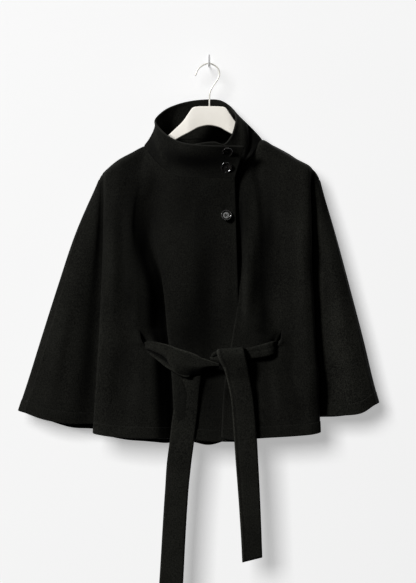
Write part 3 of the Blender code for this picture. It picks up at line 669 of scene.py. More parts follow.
def buildPanel(node, strips, folds, seed):
    # a front, which has a slit, or the back: its creases, the groove above its hem and its shell
    names = [line[0] for line in strips[0]]
    isBack = "slit" not in names
    slitLine = None if isBack else names.index("slit")
    points, quads, rowOf = panelSurface(strips, slitLine)
    quads, normals = turnedOutwards(points, quads, lambda normals: (normals[:, 1].mean() > 0) != isBack)
    height = creaseHeight(points[:, 0], points[:, 2], folds["creases"]) + unevenness(points, seed)
    if isBack:
        height *= smoothStep(6, 16, points[:, 1])
    steady = smoothStep(0, 0.12, rowOf)                   # the seams above stay where they are
    groove = -cloth["stitchSink"] * bell(rowOf, hemStation, 1.3 * stationPerMm)
    points = points + normals * (height * steady + groove)[:, None]
    inHem = smoothStep(hemStation - 0.004, hemStation + 0.016, rowOf)
    wall = cloth["wall"] + (cloth["hemWall"] - cloth["wall"]) * inHem
    if not isBack:
        name, top, hem, xs, ys = strips[0][0]
        edgeX = smoothCurve(-np.array((top, *stationHeights, hem), float), xs, -points[:, 2])
        turned = (1 - smoothStep(4, 9, np.abs(points[:, 0] - edgeX))) * (points[:, 1] < -25)
        wall += (cloth["edgeWall"] - cloth["wall"]) * turned * (rowOf < hemStation)
    clothShell(node, points, quads, wall, jacketWool, folds)
    return points, quads, rowOf


print("fronts")
frontRight = buildPanel("front_right", (rightBody, rightSleeve), frontRightFolds, seed=3)
frontLeft = buildPanel("front_left", (leftBody, leftSleeve), frontLeftFolds, seed=8)


# Back
backFolds = {
    "creases": (
        (((-172, -330), (-178, -470), (-176, -640), (-180, -800)), 16, 16, 1.8),
        (((-120, -300), (-124, -430), (-118, -560)), 12, 14, -2.2),
        (((-84, -300), (-78, -430), (-84, -560), (-90, -700)), 14, 13, 1.8),
        (((-60, -560), (-56, -680), (-50, -806)), 13, 13, -2.4),
        (((-20, -250), (-14, -400), (-18, -520)), 16, 15, -1.5),
        (((10, -540), (14, -650), (8, -806)), 15, 15, 2.0),
        (((44, -280), (52, -420), (48, -590)), 13, 15, -2.0),
        (((96, -300), (104, -470), (102, -640), (106, -800)), 15, 14, 2.0),
        (((140, -360), (146, -500), (144, -660)), 12, 12, -2.3),
        (((178, -420), (184, -560), (190, -780)), 15, 13, 1.6),
        (((-262, -380), (-284, -520), (-304, -650), (-318, -760)), 15, 15, -1.8),
        (((-300, -470), (-326, -600), (-348, -740)), 12, 13, 1.4),
        (((250, -380), (264, -520), (278, -650), (288, -750)), 14, 14, -1.8),
        (((280, -460), (300, -600), (318, -735)), 12, 12, 1.3),
        (((-60, -596), (0, -602), (62, -597)), 9, 9, 1.0),
    ),
    "cut": (1.05, 0.62),
    "cutArea": 0.475,
}


def mirroredInDepth(lines):
    return [(name, top, hem, x, tuple(-value for value in y)) for name, top, hem, x, y in lines]


def lowered(lines, drops):
    return [(name, top, hem - drop, x, y) for (name, top, hem, x, y), drop in zip(lines, drops)]


def backSleeve(lines, side, edgeX):
    # from the over-arm seam, which lies just round on the front, over the sleeve's edge
    *inner, outer, (name, top, hem, x, y) = mirroredInDepth(lines)
    gap = cloth["edgeGap"]
    near = (name, top, hem, tuple(value + side * gap for value in x),
            (0.3, *(gap / 2 - value for value in y[1:])))
    edge = ("sleeve edge", top + 2, hem + 3, tuple(side * value for value in edgeX), (2, 0, 0, 0, 0, 0))
    return [near, edge, (*outer[:4], tuple(value + 1 for value in outer[4]))] + inner[::-1]


backStrips = (       # the back's hems show a little below the front's
    lowered(backSleeve(rightSleeve, -1, (235.4, 283, 328, 361, 391, 409)), (0, 0, 1, 9, 11, 13, 13)),
    lowered(mirroredInDepth(rightBody[-3:])[::-1] + backMiddle + mirroredInDepth(leftBody[-3:]),
            (1, 1, -1, -4, 1, 0.5, 1, 2, -6, 3, -9, -9, -7, -6, -5, -3, 0, 0)),
    lowered(backSleeve(leftSleeve, 1, (236, 268, 304, 331, 354, 364)), (0, 0, 1, 4, 5, 5, 5))[::-1],
)
print("back")
back = buildPanel("back", backStrips, backFolds, seed=5)


# Collar: seam, rim, bulge and lift at stations round the neck
collarStations = [
    ((54, -245, -48), (73, -181, -52), -1, 0.4), ((-6, -245, -52), (10, -181, -62), -1, 0.5),
    ((-50, -244, -48), (-32, -178, -60), 1, 0.7), ((-77, -237, -40), (-56, -174, -52), 3, 0.9),
    ((-104, -219, -30), (-77, -165, -42.5), 1, 1.0), ((-125, -196, -17), (-97, -150, -29), -4, 1.4),
    ((-138, -178, 0), (-115, -123, 0), -8, 1.6), ((-124, -166, 19), (-95, -99, 19), -3, 1.2),
    ((-95, -160, 30), (-68, -86, 29), 2, 0.8), ((-50, -159, 36), (-36, -78, 34), 2, 0.5),
    ((0, -158, 38), (-2, -75, 36), 2, 0.5), ((50, -157, 36), (24, -77, 34), 1, 0.6),
    ((92, -157, 24), (47, -92, 22), -2, 1.2), ((113, -164, 0), (58, -111, 0), 3, 1.4),
    ((98, -189, -20), (56, -136, -20), -3, 1.6), ((84, -208, -31), (47, -160, -32), -4, 1.4),
    ((66, -227, -36), (32, -176, -37), 0, 1.0), ((37, -239, -38), (10, -171.5, -41), 0, 1.0),
    ((13, -243, -38), (-30, -176, -44), 0, 1.0),
]
collar = {
    "columns": 11,           # between two stations
    "rows": 26,
    "creases": (             # on the front half only
        (((-118, -150), (-107, -177), (-97, -202), (-85, -229)), 8, 2.5, 3.2),
        (((-64, -208), (-14, -219), (30, -220), (62, -217)), 15, 15, -3.5),
        (((84, -118), (86, -142), (87, -163), (84, -185), (76, -214)), 2.6, 11, -7.5),
        (((70, -112), (74, -142), (76, -168), (72, -196)), 8, 4, 1.8),
    ),
    # painted shade over the collar's front, painted highlights along the crease on its left
    "paintedLightAndShade": (
        ((-124, -180), (22, 40), -0.5), ((-92, -200), (26, 36), -0.35), ((-70, -200), (26, 18), -0.35),
        ((-114, -160), (4, 10), 0.4), ((-108, -176), (4, 10), 0.5), ((-101, -193), (4, 10), 0.5),
        ((-94, -209), (4, 10), 0.45), ((0, -215), (70, 26), -0.72), ((-40, -213), (26, 14), -0.4),
        ((40, -190), (30, 12), -0.4), ((90, -166), (13, 45), -0.8), ((104, -158), (13, 34), -0.7),
        ((68, -140), (8, 30), 0.5),
    ),
    "cut": (0.50, 0.095),
    "cutArea": 0.045,
}


def buildCollar():
    seams, rims, bulges, lifts = zip(*collarStations)
    seam, rim = ([np.array((x, y, z), float) for x, z, y in spots] for spots in (seams, rims))
    across, down = (len(seam) - 1) * collar["columns"], collar["rows"]
    even = np.linspace(0, 1, down + 1)
    heights = (1 - np.cos(math.pi * even)) / 4 + even / 2          # closer together at the seam and the rim
    points = []
    for column in range(across + 1):
        index = min(column // collar["columns"], len(seam) - 2)
        t = column / collar["columns"] - index
        low, high = splinePoint(seam, index, t), splinePoint(rim, index, t)
        bulge, lift = (values[index] * (1 - t) + values[index + 1] * t for values in (bulges, lifts))
        low = low + (high - low) / np.linalg.norm(high - low) * lift
        ahead = splinePoint(seam, index, min(t + 0.01, 1)) - splinePoint(seam, index, max(t - 0.01, 0))
        outward = np.array((ahead[1], -ahead[0], 0)) / max(np.hypot(ahead[0], ahead[1]), 1e-6)
        points += [low + (high - low) * h - outward * bulge * 4 * h * (1 - h) for h in heights]
    points = np.array(points)
    numbers = np.arange(len(points)).reshape(across + 1, down + 1)
    corners = (numbers[:-1, :-1], numbers[1:, :-1], numbers[1:, 1:], numbers[:-1, 1:])
    quads = np.stack(corners, axis=-1).reshape(-1, 4)
    inFront = numbers[2 * collar["columns"], down // 2]
    quads, normals = turnedOutwards(points, quads, lambda normals: normals[inFront, 1] > 0)
    columnOf = np.repeat(np.arange(across + 1), down + 1) / collar["columns"]
    heightOf = np.tile(heights, across + 1)
    reach = smoothStep(0, 0.12, heightOf) * ((columnOf < 15.5) & (points[:, 1] < 2))
    height = creaseHeight(points[:, 0], points[:, 2], collar["creases"]) * reach
    height += unevenness(points, 11) * 0.5 * smoothStep(0, 0.2, heightOf)
    rolled = cloth["collarWall"] * (0.86 + 0.14 * smoothStep(0.9, 1.0, heightOf))
    # at the side seam the lower edge gets no rubbed colour and a painted shadow line instead
    paintedSeamShadow = smoothStep(2.8, 3.6, columnOf) * (1 - smoothStep(0.2, 0.5, heightOf))
    clothShell("collar", points + normals * height[:, None], quads, rolled, collarWool, collar,
               doubleRim, 1 - paintedSeamShadow)


print("collar")
buildCollar()


# Belt: the stretches that show and the one inside; centre of each section and half its width
beltRuns = {
    "left": [
        (74.4, -60.5, -621, 12), (92, -59, -619.6, 12.4), (110, -57, -616, 13.8),
        (126, -55.5, -612.2, 14.4), (136, -52, -609, 14.5), (142, -46.5, -606, 12.5),
        (145.5, -41, -604, 9)],
    "inside": [
        (-140.3, -40.8, -599, 7.5), (-152, -33, -597, 11), (-166, -14, -601, 20), (-172, 4, -602, 23),
        (-160, 20, -603, 24), (-120, 28, -604, 24), (-60, 30, -605, 24), (0, 31, -606, 24),
        (60, 30, -605, 24), (120, 28, -604, 24), (156, 20, -604, 24), (168, 4, -604, 23),
        (169, -14, -602, 20), (160, -34, -598, 11), (150.5, -42.5, -602, 7.5)],
    "upper": [       # the right run's face, above the fold
        (-137, -41, -604, 7.4), (-133, -46, -604.5, 8.8), (-124, -53, -604.5, 9.8),
        (-115, -57, -606.6, 11), (-99, -61.5, -611.7, 12.6), (-83, -64, -619, 15),
        (-71, -65.5, -628, 20.5), (-58, -66.5, -637.5, 25.5), (-45, -67, -643.5, 26.5),
        (-32, -67, -645.5, 24), (-19.4, -66.5, -646.9, 19.7), (-6.5, -65.5, -646, 14),
        (6.5, -64.5, -645.8, 8.5), (21.5, -63, -647, 4.5)],
    "lower": [       # its lower edge, folded under
        (-135, -41, -613.5, 2.6), (-130, -45.5, -615.5, 3.5), (-122, -50.5, -620, 5),
        (-113, -54, -625.5, 6), (-99, -58, -635, 7.2), (-83, -60.5, -645, 9), (-71, -61.5, -652, 9),
        (-58, -62, -660.5, 8), (-49, -62, -667, 4.5), (-41, -61.5, -668.5, 2.5)],
}
beltEnds = {
    "belt_left_end": [
        (45, -57.5, -615, 22, 1), (44.5, -62, -611.5, 27, 2), (44.5, -67.5, -613.5, 28.5, 2.5),
        (48, -70.5, -624, 28, 2), (56, -67, -646, 25.5, 1), (63, -59.5, -676, 24.5), (70.5, -57, -716, 24),
        (76, -55.5, -778, 24.5), (81, -54.5, -856, 24), (86, -54, -935, 23), (90, -54, -1013, 22),
        (92, -54, -1060, 21.5)],
    "belt_right_end": [
        (-29, -56, -655, 14), (-35, -54, -676, 19), (-41, -53, -692, 22.5), (-49, -51.5, -740, 26),
        (-54, -51.5, -778, 26.5), (-59, -51, -817, 26), (-64, -50.5, -856, 26), (-69, -50.5, -916, 25),
        (-74, -50.5, -993, 25), (-81, -50.5, -1116, 25.5), (-84, -50.5, -1152, 25)],
}
knotTurns = (      # the other end's turns behind the knot
    [(2, -60, -631, 3), (10, -62, -631, 5), (22, -63.5, -630, 8), (34, -64, -631, 12), (48, -63, -633, 12),
     (66, -61, -628, 12), (73, -61, -624, 11)],
    [(6, -63, -626, 3), (10, -66, -621.5, 3.2), (16, -67.5, -619, 3.6), (26, -67.5, -618.5, 5),
     (36, -66, -619, 7)])
belt = {
    "wall": 4.2,
    "foldedWall": 3.6,       # of the turns that are pressed flat
    "steps": 9,              # rings between two sections
    "sides": 25,             # points across each face
    "tipSlant": {"belt_left_end": 4.5, "belt_right_end": 2.7},
    "creases": {             # across each hanging end: place along it, slant, width and depth
        "belt_left_end": ((66, 0.3, 10, 0.5), (300, -0.5, 14, -0.3)),
        "belt_right_end": ((345, 0.9, 7, -0.7), (358, 0.9, 7, 0.5), (420, -0.25, 9, -0.4),
                           (60, 1.4, 9, -0.5)),
    },
}


def flatTube(sections, upright, tipSlant=0, wall=belt["wall"], shaping=None, curl=None, roundBack=False):
    # a soft flat tube lofted through its sections; shaping(along, across, half width) moves its
    # faces, curl(along, share) sets the whole tube back towards an edge
    sections = [(*section, 0)[:5] for section in sections]
    route = splinePath([section[:3] for section in sections], belt["steps"])
    halves, tilts = (splinePath([(section[k], 0, 0) for section in sections], belt["steps"])[:, 0]
                     for k in (3, 4))
    acrossAxis = np.array((0, 0, 1.0) if upright else (1.0, 0, 0))
    lengths = np.concatenate(([0], np.cumsum(np.linalg.norm(np.diff(route, axis=0), axis=1))))
    last = len(route) - 1
    shares = [2 * k / (belt["sides"] - 1) - 1 for k in range(belt["sides"])]
    outline = [(face * share, face) for face in (1, -1) for share in shares]
    rings = []
    for i, centre in enumerate(route):
        ahead = route[min(i + 1, last)] - route[max(i - 1, 0)]
        normal = np.cross(ahead, acrossAxis)
        normal /= np.linalg.norm(normal)
        if normal[1] > 0 and not (roundBack and i > len(route) * 0.2):
            normal = -normal
        wide = np.cross(normal, ahead)
        wide /= np.linalg.norm(wide) * (-1 if wide @ acrossAxis < 0 else 1)
        ring = []
        for w, face in outline:
            inner = max(halves[i] - wall / 2, 0.5)
            edge = 1 - min(1, (1 - abs(w)) * inner / (wall * 0.9))
            depth = wall / 2 * math.sqrt(max(0.0, 1 - edge ** 2.2)) + 0.15
            x = w * halves[i]
            depth *= 1 + 0.10 * math.cos(w * 2.4)
            if shaping:
                depth = max(depth + shaping(lengths[i], x, halves[i]), 0.15)
            point = centre + wide * x + normal * depth * face
            point[2] += tilts[i] * w
            if curl:
                point[1] += curl(lengths[i], w)
            if i > last - 5:
                point[2] += tipSlant * w * 0.9 ** (last - i)
            ring.append(point)
        rings.append(ring)
    return np.array(rings), lengths[-1]


def skinRings(mesh, rings, capped=True):
    # faces from ring to ring and, if capped, one over each end
    rows = [[mesh.verts.new(Vector(point) * mm) for point in ring] for ring in rings]
    for ring, following in zip(rows, rows[1:]):
        for k in range(len(ring)):
            after = (k + 1) % len(ring)
            mesh.faces.new((ring[k], ring[after], following[after], following[k]))
    if capped:
        mesh.faces.new(rows[0])
        mesh.faces.new(rows[-1][::-1])
    return rows


def bakedMesh(name, mesh):
    data = bpy.data.meshes.new(name)
    mesh.to_mesh(data)
    mesh.free()
    return data


def finishPiece(name, mesh, material, slot, *nodes, weld=0.02, sharp=180):
    bmesh.ops.remove_doubles(mesh, verts=mesh.verts, dist=weld * mm)
    bmesh.ops.recalc_face_normals(mesh, faces=mesh.faces)
    data = bakedMesh(name, mesh)
    data.validate()
    data.shade_smooth()
    if sharp < 180:
        data.set_sharp_from_angle(angle=math.radians(sharp))
    data.materials.append(material)
    print(f"{name}: {len(data.polygons)} faces")
    return place(addObject(name, data), slot, *nodes)


def beltPiece(node, cut, held, rests, *tubes):
    # one or more flat tubes, each with its painted light and shade: tone(share of the length, share across)
    mesh = bmesh.new()
    layer = mesh.verts.layers.float.new("shade")
    for rings, tone in tubes:
        rows = skinRings(mesh, rings, capped=False)
        for i, row in enumerate(rows):
            for k, vert in enumerate(row):
                across = 2 * (k % belt["sides"]) / (belt["sides"] - 1) - 1
                if tone:
                    vert[layer] = tone(i / (len(rows) - 1), across if k < belt["sides"] else -across)
        for ring in (rows[0], rows[-1]):
            for k in range(len(ring) // 2 - 1):       # ladder of quads from face to face
                mesh.faces.new((ring[k], ring[k + 1], ring[-2 - k], ring[-1 - k]))
    item = finishPiece(node + "_cloth", mesh, beltWool, "wool", node)


def endShape(node):
    # creases across a hanging end and, on the left one, the fold a few millimetres inside its edge
    def shape(along, x, half):
        depth = sum(deep * bell(along, at + x * slope, width)
                    for at, slope, width, deep in belt["creases"][node])
        if node == "belt_left_end":
            strength = smoothStep(50, 80, along) * (1 - smoothStep(300, 420, along))
            depth -= 1.9 * strength * bell(x, 6.0 - half, 2.4)
        return depth
    return shape


# painted highlight along the run's top edge, painted shade over its lower side towards its end and near the
# gap at its start
def upperPaintedLightShade(along, across):
    return (1.3 * bell(across, 0.96, 0.12) * smoothStep(0.2, 0.35, along)
            - 0.8 * smoothStep(-0.1, 0.8, -across) * smoothStep(0.5, 0.7, along)
            - 0.5 * smoothStep(0.5, 1.0, -across) * (1 - smoothStep(0.3, 0.42, along)))


# painted light near the folded edge, painted shade over the rest
def lowerPaintedLightShade(along, across):
    return 0.5 * bell(across, -0.75, 0.3) - 0.8 * smoothStep(-0.25, 0.5, across)


# painted highlight on the rolled edge, with a painted shadow line just inside it
def leftEndPaintedLightShade(along, across):
    edge = 0.8 * bell(across, -0.92, 0.12) - 0.5 * bell(across, -0.72, 0.08)
    return edge * smoothStep(0.08, 0.16, along)


# a little painted light over all, with painted shade towards one side just below the knot
def rightEndPaintedLightShade(along, across):
    return 0.08 - 0.55 * smoothStep(-0.1, 0.9, across) * (1 - smoothStep(0.1, 0.3, along))


def buildBelt():
    rings, length = flatTube(beltRuns["left"], True, shaping=lambda along, x, half: -0.5 * bell(x, 2, 4))
    beltPiece("belt_left_run", (0.026, length * mm), "stretched", "front_left_cloth", (rings, None))
    rings, length = flatTube(beltRuns["inside"], True, roundBack=True)
    beltPiece("belt_inside", (0.046, length * mm), "stretched", "back_cloth", (rings, None))
    upper, length = flatTube(
        beltRuns["upper"], True, shaping=lambda along, x, half: 0.9 * bell(x, half - 2.2, 1.8),
        curl=lambda along, share: 10 * smoothStep(0.0, 1.1, -share) * smoothStep(85, 130, along))
    lower, _ = flatTube(
        beltRuns["lower"], True, wall=belt["foldedWall"],
        shaping=lambda along, x, half: -1.4 * bell(x, 6.5 - half, 2.4) * smoothStep(20, 40, along))
    beltPiece("belt_right_run", (0.048, length * mm), "folded", "front_right_cloth",
              (upper, upperPaintedLightShade), (lower, lowerPaintedLightShade))
    for node, tone in (("belt_left_end", leftEndPaintedLightShade), ("belt_right_end", rightEndPaintedLightShade)):
        rings, length = flatTube(beltEnds[node], False, belt["tipSlant"][node], shaping=endShape(node))
        beltPiece(node, (0.049, length * mm), "hung", "belt_knot_cloth", (rings, tone))
    beltPiece("belt_knot", (0.05, 0.043), "folded", "front_left_cloth",
              *((flatTube(sections, True, wall=belt["foldedWall"])[0], None) for sections in knotTurns))


print("belt")
buildBelt()


# Buttons
buttons = {
    "radius": 12.0,
    "thickness": 3.6,
    "holeRadius": 1.15,
    "holeGap": 1.95,
    "threadRadius": 0.26,
    "places": (              # node, x, z and tilt of each
        ("button_top", 39, -192.5, -40), ("button_middle", 37, -225, -16), ("button_lower", 37, -327, 12)),
    "standOff": 0.5,         # from the cloth to the button's base
    "profile": (             # shares of the radius and the thickness, from the dish to the base
        (0, 0.52), (0.30, 0.50), (0.55, 0.47), (0.63, 0.50), (0.69, 0.62), (0.74, 0.82), (0.80, 0.95),
        (0.86, 1.0), (0.92, 0.97), (0.97, 0.86), (1.0, 0.66), (0.995, 0.42), (0.96, 0.22), (0.88, 0.06),
        (0.80, 0), (0, 0)),
}


def frontOfCloth(x, z):
    # the foremost point of the collar or the right front at x and z
    start, ahead = Vector((x, -200, z)) * mm, Vector((0, 1, 0))
    hits = [bpy.data.objects[name].ray_cast(start, ahead) for name in ("collar_cloth", "front_right_cloth")]
    return min(spot.y for found, spot, normal, index in hits if found) / mm


def evaluatedMesh(item):
    bpy.context.view_layer.update()
    return bpy.data.meshes.new_from_object(item.evaluated_get(bpy.context.evaluated_depsgraph_get()))


def turnedButton():
    # a button at the origin, turned about Z and drilled
    profile = bmesh.new()
    spots = [profile.verts.new(Vector((r * buttons["radius"], 0, h * buttons["thickness"])) * mm)
             for r, h in buttons["profile"]]
    for a, b in zip(spots, spots[1:]):
        profile.edges.new((a, b))
    item = addObject("turned", bakedMesh("turned", profile))
    turn = item.modifiers.new("turn", "SCREW")
    turn.steps = turn.render_steps = 72
    turn.use_merge_vertices = True
    turn.merge_threshold = 0.00001
    holes = bmesh.new()
    for sideX in (-1, 1):
        for sideY in (-1, 1):
            radius = buttons["holeRadius"] * mm
            made = bmesh.ops.create_cone(holes, cap_ends=True, segments=20, radius1=radius, radius2=radius,
                                         depth=12 * mm)
            offset = Vector((sideX * buttons["holeGap"], sideY * buttons["holeGap"], 2)) * mm
            bmesh.ops.translate(holes, verts=made["verts"], vec=offset)
    drill = addObject("drill", bakedMesh("drill", holes))
    cut = item.modifiers.new("holes", "BOOLEAN")
    cut.object = drill
    cut.solver = "EXACT"
    made = evaluatedMesh(item)
    for used in (item, drill):
        bpy.data.objects.remove(used, do_unlink=True)
    return made


def buildButton(node, x, z, tilt):
    y = frontOfCloth(x, z) - buttons["standOff"]
    spot = Matrix.Translation(Vector((x, y, z)) * mm) @ Matrix.Rotation(math.radians(90 - tilt), 4, "X")
    mesh = bmesh.new()
    mesh.from_mesh(plainButton)
    bmesh.ops.transform(mesh, matrix=spot, verts=mesh.verts)
    finishPiece(node + "_polished", mesh, buttonPlastic, "button", node, weld=0.01, sharp=50)
    sewing = bmesh.new()                  # the thread that crosses from hole to hole
    radius = buttons["threadRadius"]
    for turn in (45, -45):
        turned = spot @ Matrix.Rotation(math.radians(turn), 4, "Z")
        for shift in (-0.28, 0.28):
            rings = []
            for t in np.linspace(-1, 1, 9):
                along = t * buttons["holeGap"] * 1.42
                up = 0.52 * buttons["thickness"] + 0.55 * (1 - abs(t) ** 2.5) - 0.9 * (abs(t) > 0.99)
                ring = [(along, shift + radius * math.cos(a), up + radius * math.sin(a))
                        for a in np.linspace(0, 2 * math.pi, 8, endpoint=False)]
                rings.append([turned @ (Vector(point) * mm) / mm for point in ring])
            skinRings(sewing, rings)
    finishPiece(node + "_thread", sewing, thread, "wool")


print("buttons")
plainButton = turnedButton()
for entry in buttons["places"]:
    buildButton(*entry)


# Hanger and hook
hanger = {
    "sections": (            # x, top, bottom and half thickness of each, on one side
        (0, -91, -132, 6), (24, -91.5, -137, 6.2), (35, -94, -143, 6.5), (44, -106, -148, 6.8),
        (56, -123, -154, 6), (70, -137, -162, 5.5), (93, -158, -177, 5.5), (120, -177.5, -195, 5.5),
        (150, -188, -209, 7.5), (180, -205, -225, 10.5), (204, -218, -239, 13), (216, -229, -246, 10)),
    "edgeRound": 2.4,
    "ringPoints": 40,
    "hook": ((-29, -24), (-25.5, -14), (-20, -7), (-9, -0.4), (0, 1.65), (9.5, -1.5), (16, -6), (20, -11),
             (22.3, -20.5), (19.5, -30.5), (12, -42), (5, -53), (1.5, -63), (1, -76), (1, -91.5)),
    "wireRadius": 1.65,
}


def roundedOutline(rise, half):
    # points round a rectangle with round corners, evenly by angle
    corner = min(hanger["edgeRound"], rise * 0.95, half * 0.95)
    count = hanger["ringPoints"] // 4
    spots = []
    for cornerX, cornerZ, start in ((1, 1, 0), (-1, 1, 90), (-1, -1, 180), (1, -1, 270)):
        for k in range(count):
            angle = math.radians(start + 90 * k / (count - 1))
            spots.append((cornerX * (half - corner) + corner * math.cos(angle),
                          cornerZ * (rise - corner) + corner * math.sin(angle)))
    return spots


def roundTube(route, side, wide, high, count):
    # rings round a path that lies at right angles to side
    rings = []
    for i, centre in enumerate(route):
        ahead = route[min(i + 1, len(route) - 1)] - route[max(i - 1, 0)]
        up = np.cross(side, ahead / np.linalg.norm(ahead))
        rings.append([centre + side * wide * math.cos(a) + up * high * math.sin(a)
                      for a in np.linspace(0, 2 * math.pi, count, endpoint=False)])
    return rings


def buildHanger():
    oneSide = hanger["sections"]
    sections = [(-x, *rest) for x, *rest in oneSide[:0:-1]] + list(oneSide)
    route = splinePath([(x, (top + low) / 2, (top - low) / 2) for x, top, low, half in sections], 8)
    halves = splinePath([(half, 0, 0) for x, top, low, half in sections], 8)[:, 0]
    rings = []
    for i, (x, middle, rise) in enumerate(route):
        fromEnd = min(i, len(route) - 1 - i)
        shrink = math.sqrt(1 - (1 - min(1, (fromEnd + 0.4) / 6)) ** 2)
        rings.append([(x, y * shrink, middle + z * shrink) for y, z in roundedOutline(rise, halves[i])])
    mesh = bmesh.new()
    skinRings(mesh, rings)
    finishPiece("hanger_moulded", mesh, hangerPlastic, "hanger", "hanger")


def buildHook():
    route = splinePath([(x, 0, z) for x, z in hanger["hook"]], 8)
    radius = hanger["wireRadius"]
    rings = roundTube(route, np.array((0, 1.0, 0)), radius, radius, 20)
    start, tip = rings[0], route[0] - route[1]
    tip /= np.linalg.norm(tip)
    for reach, share in ((0.5, 0.87), (0.87, 0.5)):      # round tip
        rings.insert(0, [route[0] + (p - route[0]) * share + tip * reach * radius * 0.8 for p in start])
    mesh = bmesh.new()
    skinRings(mesh, rings)
    finishPiece("hook_wire", mesh, coatedWire, "wire", "hanger_hook")


print("hanger")
buildHanger()
buildHook()


# Stitches, laid along their lines by Geometry Nodes
stitchStyle = {
    "Pitch": 3.4,
    "Length": 1.9,
    "Width": 0.62,
    "Height": 0.14,
}


def makeStitchTree():
    tree, given, result = startGroup(
        "stitchRow", "GeometryNodeTree",
        (("Line", "Geometry"), *((label, "Float", value * mm) for label, value in stitchStyle.items()),
         ("Seed", "Int", 7), ("Thread", "Material")), (("Stitches", "Geometry"),))
    curve = addNode(tree, "GeometryNodeMeshToCurve", {"Mesh": given["Line"]}).outputs["Curve"]
    spots = addNode(tree, "GeometryNodeResampleCurve", {"Curve": curve, "Length": given["Pitch"]},
                    mode="LENGTH")
    ball = addNode(tree, "GeometryNodeMeshUVSphere", {"Segments": 8, "Rings": 5, "Radius": 0.5})
    along = addNode(tree, "GeometryNodeInputTangent").outputs["Tangent"]
    turn = addNode(tree, "FunctionNodeAlignRotationToVector", {"Vector": along}, axis="X")
    size = addNode(tree, "ShaderNodeCombineXYZ",
                   {"X": given["Length"], "Y": given["Width"], "Z": given["Height"]})
    random = addNode(tree, "FunctionNodeRandomValue", {2: 0.86, 3: 1.1, "Seed": given["Seed"]},
                     data_type="FLOAT")
    scaled = addNode(tree, "ShaderNodeVectorMath", {0: size.outputs["Vector"], "Scale": random.outputs[1]},
                     operation="SCALE")
    made = addNode(tree, "GeometryNodeInstanceOnPoints", {
        "Points": spots.outputs["Curve"], "Instance": ball.outputs["Mesh"],
        "Rotation": turn.outputs["Rotation"], "Scale": scaled.outputs["Vector"]}).outputs["Instances"]
    for kind in ("GeometryNodeRealizeInstances", "GeometryNodeSetShadeSmooth", "GeometryNodeSetMaterial"):
        finish = addNode(tree, kind, {"Geometry": made})
        made = finish.outputs["Geometry"]
    fillInputs(tree, finish, {"Material": given["Thread"]})
    fillInputs(tree, result, {"Stitches": made})
    return tree


def hemLines(points, quads, rowOf):
    # the points of a panel along the hem's stitch line, lifted to the face of the cloth
    lifted = points + surfaceNormals(points, quads) * (cloth["wall"] + cloth["hemWall"]) / 4
    lines = [[]]
    for spot in lifted[np.abs(rowOf - hemStation) < 1e-6]:
        if lines[-1] and np.linalg.norm(spot - lines[-1][-1]) > 14:      # the hem is parted here
            lines.append([])
        lines[-1].append(spot)
    return [line for line in lines if len(line) > 3]


def stitchHem(node, panel):
    name = node + "_hem_stitches"
    spots, edges = [], []
    for line in hemLines(*panel):
        edges += [(len(spots) + k, len(spots) + k + 1) for k in range(len(line) - 1)]
        spots += [tuple(Vector(point) * mm) for point in line]
    mesh = bpy.data.meshes.new(name)
    mesh.from_pydata(spots, edges, [])
    item = addObject(name, mesh)
    rows = item.modifiers.new("stitches", "NODES")
    rows.node_group = stitchTree
    rows[stitchTree.interface.items_tree["Thread"].identifier] = thread
    made = evaluatedMesh(item)
    item.modifiers.remove(rows)
    item.data = made
    print(f"{name}: {len(item.data.polygons)} faces")
    return place(item, "wool")


print("stitches")
stitchTree = makeStitchTree()
trims = {node + "_cloth": [stitchHem(node, panel)]
         for node, panel in (("front_right", frontRight), ("front_left", frontLeft), ("back", back))}


# Stage: wall, floor and the peg that the hook hangs on
stage = {
    "wallY": 60.5,
    "wallGlow": 0.42,
    "floorZ": -1750,
    "floorGlow": 0.35,
    "wallReach": 4000,
    "floorReach": 6000,
    "peg": ((59.5, 26), (57, 22), (56.5, 10), (52.5, 0.5), (38.5, -2.2), (8, -2.0), (-3, -1.6),
            (-6, 0.6), (-7, 4)),
    "pegWidth": 1.7,         # half of it, like the height
    "pegHeight": 1.4,
}


def makePaint(name, low, high, scale, glow=0.0):
    def finish(tree):
        clouds = noiseNode(tree, objectSpot(tree), scale, 3)
        return {"Base Color": mixColour(tree, clouds, (low, low, low), (high, high, high)), "Roughness": 0.9,
                "Emission Color": (1, 1, 1, 1), "Emission Strength": glow}
    return makeMaterial(name, finish)


def seeThroughFromBehind(material):
    # so that the back can be seen
    tree = material.node_tree
    behind = tree.nodes.new("ShaderNodeNewGeometry").outputs["Backfacing"]
    clear = tree.nodes.new("ShaderNodeBsdfTransparent").outputs[0]
    shader = tree.nodes["Principled BSDF"].outputs[0]
    mix = addNode(tree, "ShaderNodeMixShader", {0: behind, 1: shader, 2: clear})
    fillInputs(tree, tree.nodes["Material Output"], {"Surface": mix.outputs[0]})
    return material


def stagePiece(name, data, paint):
    data.materials.append(paint)
    item = addObject(name, data)
    return item


def stageSheet(name, corners, paint):
    data = bpy.data.meshes.new(name)
    data.from_pydata([tuple(Vector(corner) * mm) for corner in corners], [], [(0, 1, 2, 3)])
    return stagePiece(name, data, paint)


